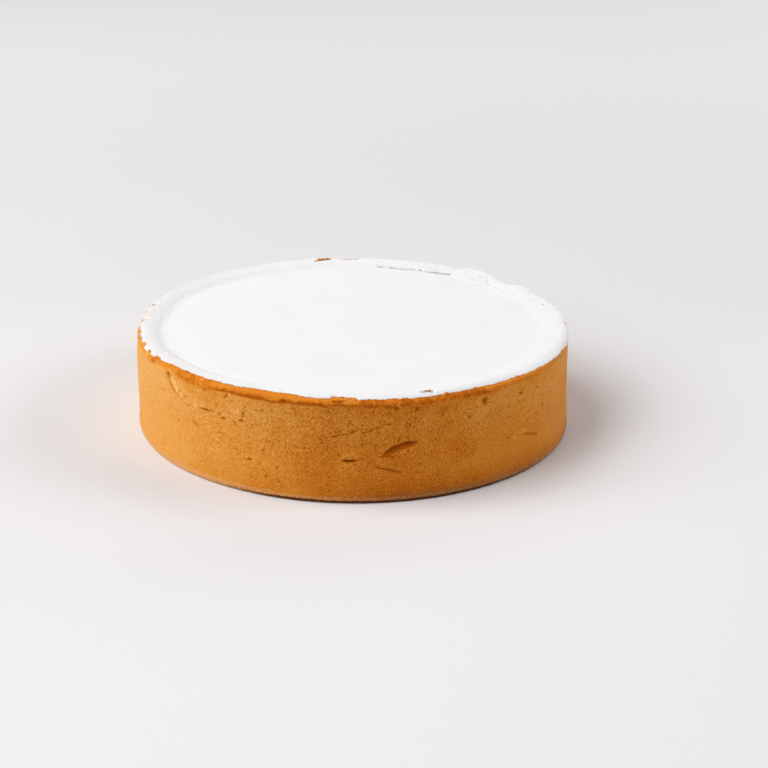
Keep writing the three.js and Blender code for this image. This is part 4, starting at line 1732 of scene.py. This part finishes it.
@dataclass(frozen=True)
class PastryFinish:
    """Baked shortcrust: gold to toasted brown, pored, sandy, floury at the foot."""

    effects: Effects
    name: str = "baked_shortcrust"
    bake: float = 0.48          # how far the plain wall is baked
    pore_amount: float = 1.0
    hollow_pores: float = 0.1   # share of the pores that a hollow keeps
    foot_height: float = 6.0    # how far up the floury foot reaches, mm
    # the dark bottom edge is partly a darker baked edge, partly painted contact shadow
    edge_height: float = 2.3    # the dark bottom edge, mm
    roughness: float = 0.84
    relief: float = 0.62        # bump height, mm
    full_browning: float = 1.4  # the browning that is toasted to the last colour
    grain_contrast: float = -0.5
    # size in mm, detail, roughness and strength of the uneven baking
    clouds: tuple[tuple[float, float, float, float], ...] = (
        (55.0, 2.0, 0.5, 0.22), (14.0, 3.0, 0.6, 0.22), (3.6, 2.0, 0.6, 0.1))
    # where the grain shows less
    calm: Fades = (Fade(Axis.X, 40, 100, 1.22, 0.6), Fade(Axis.X, -115, -70, 0.8, 1.0),
                   Fade(Axis.Z, 10, 34, 0.78, 1.0))
    pored: Fades = (Fade(Axis.Z, 10, 34, 0.5, 1.0),)
    # where the crust is baked more, or less, and where painted light and shade lighten or darken it
    baked: tuple[tuple[Fades, float], ...] = (
        # darker towards the foot
        ((Fade(Axis.Z, 16, 3),), 0.1),
        # painted shade: darker low down towards the right, the side away from the key light
        ((Fade(Axis.Z, 16, 3), Fade(Axis.X, -20, 50), Fade(Axis.X, 75, 120, 1.0, 0.35)), 0.14),
        ((Fade(Axis.Z, 33, 45),), -0.06),
        # paler towards the lit left: partly a paler bake, partly painted light
        ((Fade(Axis.X, 10, -125),), -0.4),
        # paler still at the far left: painted light
        ((Fade(Axis.X, -96, -120),), -0.07),
        ((Fade(Axis.X, 35, 85),), -0.13))
    # the richer band round the lower half
    belly: Fades = (Fade(Axis.Z, 6, 13), Fade(Axis.Z, 36, 25, 0.0, 0.3), Fade(Axis.X, -121, -100))
    # a duller, greyer colour towards the right edge: partly dust, partly a painted grazing sheen
    dust_and_sheen_side: Fades = (Fade(Axis.X, 92, 122, 0.0, 0.3),)
    floured: Fades = (Fade(Axis.X, 40, -90, 0.27, 0.4),)
    # painted shade: a grey cast low on the foot, towards the right, the side away from the key light
    painted_foot_shade: Fades = (Fade(Axis.X, -30, 50, 0.0, 0.36), Fade(Axis.X, 70, 110, 1.0, 0.7))
    # painted contact shadow along the bottom edge, over a darker baked edge, fading out towards the lit left
    edge_shadow_side: Fades = (Fade(Axis.X, -85, -30), Fade(Axis.X, 60, 105, 1.0, 0.25))
    richer: Colour = (0.98, 0.84, 0.4)
    toasted: tuple[tuple[float, Colour], ...] = (  # by browning, as a share of full_browning
        (0.3, (0.88, 0.31, 0.032)), (0.5, (0.79, 0.222, 0.014)), (0.68, (0.64, 0.154, 0.006)),
        (0.85, (0.52, 0.117, 0.0025)), (1.0, (0.45, 0.098, 0.0012)))
    flour: Colour = (0.8, 0.44, 0.2)
    # the brown of that painted contact shadow
    edge_shadow_brown: Colour = (0.15, 0.045, 0.009)
    # multiplied in by the pale share: a paler crust, and on ridges and bulges partly a painted highlight
    lifted: Colour = (1.2, 1.45, 2.2)
    # the colour of that dust and painted sheen
    dust_and_sheen: Colour = (0.6, 0.3, 0.12)
    # the grey of that painted shade at the foot
    foot_shade_grey: Colour = (0.107, 0.094, 0.07)
    # painted shade inside grooves, cracks and pits, and under the lip's overhang, by the hollow share
    hollow_shade: tuple[tuple[float, Colour], ...] = (
        (0.0, (1.0, 1.0, 1.0)), (0.25, (0.88, 0.74, 0.3)), (0.5, (0.74, 0.54, 0.12)),
        (0.75, (0.6, 0.4, 0.05)), (1.0, (0.42, 0.24, 0.01)))

    def _bake_level(self, bench: NodeBench, place: Socket, grain: Node) -> Socket:
        """How far the crust is baked at each place, with painted light and shade folded in.

        Args:
            bench: the bench on the material's tree.
            place: where on the object, in metres.
            grain: the crust_grain group.

        Returns:
            A number from 0 to 1 for the baked_colour group.
        """
        shares = []
        for size, detail, roughness, strength in self.clouds:
            cloud = bench.noise(bench.scaled(place, size), detail, roughness)
            shares.append((bench.math("SUBTRACT", cloud, 0.5), strength))
        calm = faded(bench, place, self.calm, bench.ease(bench.attribute("hollow"), 0.0, 0.8, 1.0, 0.25))
        speckle = bench.math("SUBTRACT", grain.outputs["Grain"], 0.5)
        shares.append((bench.times(speckle, calm), self.grain_contrast))
        shares += [(faded(bench, place, fades), strength) for fades, strength in self.baked]
        shares += [(bench.attribute("browning"), 0.2),
                   (faded(bench, place, self.pored, grain.outputs["Pores"]), 0.6),
                   (grain.outputs["Flecks"], -0.3)]
        level: Input = self.bake
        for share, strength in shares:
            level = bench.math("ADD", level, bench.times(share, strength))
        return bench.math("ADD", level, 0.0, clamp=True)

    def _crust_colour(self, bench: NodeBench, place: Socket, grain: Node) -> Socket:
        """The colour of the crust, from its baking, its browned lip, its pale spots, partly painted
        highlights, and the painted shade in its hollows.

        Args:
            bench: the bench on the material's tree.
            place: where on the object, in metres.
            grain: the crust_grain group.

        Returns:
            The colour, without the marks of the foot.
        """
        browning, hollow = bench.attribute("browning"), bench.attribute("hollow")
        bake = self._bake_level(bench, place, grain)
        colour = bench.group(self.effects.baked_colour, {"Bake": bake}).outputs["Colour"]
        darker = bench.math("SUBTRACT", 0.5, grain.outputs["Grain"])
        toast = bench.math("MULTIPLY_ADD", darker, 0.25, bench.math("DIVIDE", browning, self.full_browning))
        rich = bench.math("MAXIMUM", bench.ease(browning, 0.0, 0.45), faded(bench, place, self.belly))
        colour = bench.blend(rich, colour, rgba(self.richer), "MULTIPLY")
        covered = bench.ease(browning, 0.25, 0.7, 0.0, 0.95)
        colour = bench.blend(covered, colour, bench.ramp(toast, self.toasted))
        # paler spots, on ridges and bulges partly a painted highlight
        colour = bench.blend(bench.attribute("pale"), colour, rgba(self.lifted), "MULTIPLY")
        # painted shade in the hollows
        colour = bench.blend(1.0, colour, bench.ramp(hollow, self.hollow_shade), "MULTIPLY")
        # duller and greyer towards the right edge, partly a painted grazing sheen
        return bench.blend(faded(bench, place, self.dust_and_sheen_side), colour, rgba(self.dust_and_sheen))

    def _foot_colour(self, bench: NodeBench, place: Socket, grain: Socket, colour: Socket) -> Socket:
        """Adds the flour, the painted grey shade and the dark bottom edge of the foot, which is partly
        painted contact shadow.

        Args:
            bench: the bench on the material's tree.
            place: where on the object, in metres.
            grain: the crumb grain.
            colour: the crust's colour.

        Returns:
            The colour with them.
        """
        up = bench.split(place)[2]
        height = bench.math("ADD", up, bench.times(grain, 1.2 * MM))
        low = bench.ease(height, self.foot_height * MM, 2.6 * MM)
        dusted = bench.math("MULTIPLY_ADD", low, faded(bench, place, self.floured), 0.3)
        flour = bench.group(self.effects.sifted_sugar, {"Place": place, "Amount": dusted})
        colour = bench.blend(bench.times(flour.outputs["Cover"], 0.55), colour, rgba(self.flour))
        # painted shade: a grey cast low on the foot, stronger towards the right
        painted_foot_shade = faded(bench, place, self.painted_foot_shade, bench.ease(height, 8.0 * MM, 2.0 * MM))
        colour = bench.blend(painted_foot_shade, colour, rgba(self.foot_shade_grey))
        # painted contact shadow along the bottom edge, over a darker baked edge, fading towards the lit left
        ragged = bench.math("ADD", up, bench.times(grain, 0.5 * MM))
        edge = bench.ease(ragged, self.edge_height * MM, 0.75 * self.edge_height * MM)
        return bench.blend(faded(bench, place, self.edge_shadow_side, edge), colour, rgba(self.edge_shadow_brown))

    def material(self) -> bpy.types.Material:
        """Builds the material.

        Returns:
            The material.
        """
        material, bench, shader, place = start_material(self.name)
        lost = -(1.0 - self.hollow_pores) * self.pore_amount
        pores = bench.math("MULTIPLY_ADD", bench.attribute("hollow"), lost, self.pore_amount)
        group = bench.group(self.effects.crust_grain, {"Place": place, "Pore Amount": pores})
        grain = group.outputs["Grain"]
        colour = self._crust_colour(bench, place, group)
        colour = self._foot_colour(bench, place, grain, colour)
        rough = bench.ease(grain, 0.2, 0.8, self.roughness - 0.08, self.roughness + 0.1)
        bench.dress(shader, colour, rough, group.outputs["Height"], self.relief, specular=0.1)
        shader.inputs["IOR"].default_value = 1.45
        return material


@dataclass(frozen=True)
class FillingFinish:
    """Set lemon filling: satin yellow, with a faint cloudiness and fine bubbles."""

    effects: Effects
    name: str = "set_lemon_filling"
    light: Colour = (0.86, 0.6, 0.1)
    deep: Colour = (0.8, 0.5, 0.07)
    bubble: Colour = (0.7, 0.4, 0.05)
    bubble_amount: float = 0.3
    relief: float = 0.1  # depth of the bubbles, mm

    def material(self) -> bpy.types.Material:
        """Builds the material.

        Returns:
            The material.
        """
        material, bench, shader, place = start_material(self.name)
        cloud = bench.noise(bench.scaled(place, 18.0), 3.0)
        bubbles = bench.group(self.effects.crust_grain, {"Place": place, "Pore Amount": self.bubble_amount})
        pores = bubbles.outputs["Pores"]
        colour = bench.blend(cloud, rgba(self.light), rgba(self.deep))
        colour = bench.blend(pores, colour, rgba(self.bubble))
        rough = bench.ease(cloud, 0.3, 0.7, 0.35, 0.5)
        bench.dress(shader, colour, rough, pores, self.relief, specular=0.5, hollow=True)
        return material


@dataclass(frozen=True)
class SugarFinish:
    """Sifted icing sugar: matte white, softly clumped, with browned pastry where it has broken."""

    effects: Effects
    name: str = "icing_sugar"
    white: Colour = (0.757, 0.749, 0.751)
    drifted: Colour = (0.744, 0.736, 0.739)
    thin: Colour = (0.92, 0.915, 0.905)  # painted shade: darker on the lit left of the rim, to tone down its highlight
    left_rim_shade_side: Fades = (Fade(Axis.X, -30, -100),)
    bare_crust: Colour = (0.2, 0.12, 0.07)
    lit_crust: float = 1.6               # how much lighter its grain is
    relief: float = 0.2                  # bump height, mm

    def material(self) -> bpy.types.Material:
        """Builds the material.

        Returns:
            The material.
        """
        material, bench, shader, place = start_material(self.name)
        sugar = bench.group(self.effects.sifted_sugar, {"Place": place, "Amount": 1.0})
        tone = bench.ease(sugar.outputs["Tone"], 0.35, 0.65)
        colour = bench.blend(tone, rgba(self.drifted), rgba(self.white))
        parts = bench.split(place)
        flat = bench.add("ShaderNodeCombineXYZ", {0: parts[0], 1: parts[1]}).outputs[0]
        radius = bench.add("ShaderNodeVectorMath", {0: flat}, operation="LENGTH").outputs["Value"]
        # painted shade on the lit left of the rim
        left_rim_shade = faded(bench, place, self.left_rim_shade_side, bench.ease(radius, 108.0 * MM, 116.0 * MM))
        colour = bench.blend(left_rim_shade, colour, rgba(self.thin), "MULTIPLY")
        grain = bench.group(self.effects.crust_grain, {"Place": place, "Pore Amount": 1.0}).outputs["Grain"]
        lit = tuple(self.lit_crust * part for part in self.bare_crust)
        pastry = bench.blend(grain, rgba(self.bare_crust), rgba(lit))
        bare = bench.ease(bench.attribute("bare"), 0.3, 0.7)
        bare = bench.times(bare, bench.ease(grain, 0.25, 0.6, 0.95, 0.25))
        rough = bench.ease(sugar.outputs["Height"], 0.3, 0.7, 0.85, 1.0)
        bench.dress(shader, bench.blend(bare, colour, pastry), rough, sugar.outputs["Height"],
                    self.relief, specular=0.2)
        return material


# ---- studio

@dataclass
class Floor:
    """A plain pale floor, seamless to well past the view, with painted shade just behind the tart."""

    half: float = 5.0                       # metres
    drop: float = 0.05                      # mm below the tart's foot
    tone: Colour = (0.695, 0.681, 0.686)
    behind: Colour = (0.935, 0.935, 0.935)  # painted shade: a touch darker just behind the tart
    cloud: float = 700.0                    # width of its faint unevenness, mm
    lift: float = 1.02                      # how much lighter that makes it

    def build(self) -> Piece:
        """Builds and finishes the floor.

        Returns:
            The floor.
        """
        edge = self.half / MM
        corners = np.array([(-edge, -edge, -self.drop), (edge, -edge, -self.drop),
                            (edge, edge, -self.drop), (-edge, edge, -self.drop)])
        floor = mesh_object("floor", corners, [[0, 1, 2, 3]])
        material, bench, shader, place = start_material("pale_paper")
        cloud = bench.noise(bench.scaled(place, self.cloud), 2.0)
        lighter = tuple(min(1.0, self.lift * part) for part in self.tone)
        colour = bench.blend(cloud, rgba(self.tone), rgba(lighter))
        # painted shade on the floor just behind the tart
        depth = bench.split(place)[1]
        behind = bench.times(bench.ease(depth, 0.02, 0.22), bench.ease(depth, 1.0, 0.45))
        colour = bench.blend(behind, colour, rgba(self.behind), "MULTIPLY")
        bench.feed(shader, {"Base Color": colour, "Roughness": 0.9, "Specular IOR Level": 0.2})
        floor.data.materials.append(material)
        return floor


@dataclass(frozen=True)
class SoftBox:
    """One soft studio light, aimed at the tart."""

    name: str
    towards: float         # the side it stands on, degrees from +X
    rise: float            # degrees above the floor
    power: float           # watts
    width: float = 1.5     # metres
    tall: float = 1.5      # metres
    distance: float = 3.0  # metres
    colour: Colour = (1.0, 1.0, 1.0)

    def build(self, aim: Vector) -> Piece:
        """Builds the light.

        Args:
            aim: the point that it faces, in metres.

        Returns:
            The light object.
        """
        light = bpy.data.lights.new(self.name, "AREA")
        light.shape, light.size, light.size_y = "RECTANGLE", self.width, self.tall
        light.energy, light.color = self.power, self.colour
        lamp = bpy.data.objects.new(self.name, light)
        bpy.context.scene.collection.objects.link(lamp)
        turn, rise = math.radians(self.towards), math.radians(self.rise)
        away = Vector((math.cos(turn) * math.cos(rise), math.sin(turn) * math.cos(rise), math.sin(rise)))
        lamp.location = aim + away * self.distance
        lamp.rotation_euler = (-away).to_track_quat("-Z", "Y").to_euler()
        return lamp


@dataclass(frozen=True)
class Viewpoint:
    """Where the camera stands, and the point of the tart's middle plane that it faces."""

    distance: float = 1.129       # metres from the tart's middle
    elevation: float = 20.83      # degrees above the floor
    middle_height: float = 0.030  # metres
    aim_right: float = 0.01788    # metres to the right of the tart's middle
    aim_height: float = 0.01834   # metres above the floor
    roll: float = 0.78            # degrees
    lens: float = 93.87           # millimetres
    film: float = 36.0            # its width, millimetres

    def build(self) -> Piece:
        """Builds the camera and makes it the scene's.

        Returns:
            The camera.
        """
        data = bpy.data.cameras.new("camera")
        data.lens, data.sensor_width = self.lens, self.film
        data.clip_start, data.clip_end = 0.05, 50.0
        camera = bpy.data.objects.new("camera", data)
        bpy.context.scene.collection.objects.link(camera)
        rise = math.radians(self.elevation)
        camera.location = (0.0, -math.cos(rise) * self.distance,
                           self.middle_height + math.sin(rise) * self.distance)
        look = Vector((self.aim_right, 0.0, self.aim_height)) - camera.location
        level = look.to_track_quat("-Z", "Y").to_matrix()
        camera.rotation_euler = (level @ Matrix.Rotation(math.radians(self.roll), 3, "Z")).to_euler()
        bpy.context.scene.camera = camera
        return camera


@dataclass
class Studio:
    """The plain floor, the soft lights and the camera."""

    ambient: float = 0.022    # strength of the room's own light
    room: Colour = (1.0, 0.99, 0.99)
    aim_height: float = 0.03  # where the soft lights face, metres above the floor
    boxes: tuple[SoftBox, ...] = (
        SoftBox("left_softbox", towards=181, rise=58, power=55, width=1.8, tall=1.8),
        SoftBox("left_low_softbox", towards=181, rise=28, power=31),
        SoftBox("front_left_softbox", towards=225, rise=35, power=38),
        SoftBox("right_softbox", towards=1, rise=30, power=45),
        SoftBox("back_right_softbox", towards=45, rise=12, power=24, tall=1.2),
        SoftBox("back_softbox", towards=90, rise=35, power=14.5, width=1.8),
    )

    def build(self) -> None:
        """Builds the studio."""
        Floor().build()
        for box in self.boxes:
            box.build(Vector((0.0, 0.0, self.aim_height)))
        Viewpoint().build()
        scene = bpy.context.scene
        world = bpy.data.worlds.new("soft_room")
        world.use_nodes = True
        background = world.node_tree.nodes["Background"]
        background.inputs["Color"].default_value = rgba(self.room)
        background.inputs["Strength"].default_value = self.ambient
        scene.world = world
        scene.view_settings.view_transform = "Standard"
        scene.view_settings.look = "None"
        scene.view_settings.exposure = 0.0


# ---- the whole tart

def main() -> None:
    """Builds every piece and the studio, and reports them."""
    logging.basicConfig(level=logging.INFO, format="%(name)s: %(message)s")
    case_low, case_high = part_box("pastry_case")
    _, filling_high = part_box("lemon_filling")
    foot_spread = TartShape.foot_spread
    ring_radius = (case_high.x - case_low.x) / 2 / MM - foot_spread - SIDE_SWELL
    shape = TartShape(ring_radius=ring_radius, filling_top=filling_high.z / MM - FILLING_SWELL)
    effects = Effects()
    pastry, sugar = PastryFinish(effects), SugarFinish(effects)
    coat = SugarCoat(shape)
    layout = CrumbLayout(shape, coat)
    pieces = [
        PastryCase(shape).dress(pastry),
        LemonFilling().dress(FillingFinish(effects)),
        coat.dress(sugar),
        LooseBits("icing_sugar_lumps", Slot.SUGAR,
                  layout.sugar_lumps() + layout.stuck_sugar(), 31).dress(sugar),
        LooseBits("pastry_lip_crumbs", Slot.PASTRY,
                  layout.pastry_crumbs() + layout.perched_crumbs(), 37).dress(pastry),
        LooseBits("floury_foot_crumbs", Slot.PASTRY, layout.foot_crumbs(), 41).dress(pastry),
    ]
    Studio().build()
    for piece in pieces:
        LOG.info("%s: %d points", piece.name, len(piece.data.vertices))


if __name__ == "__main__":
    main()
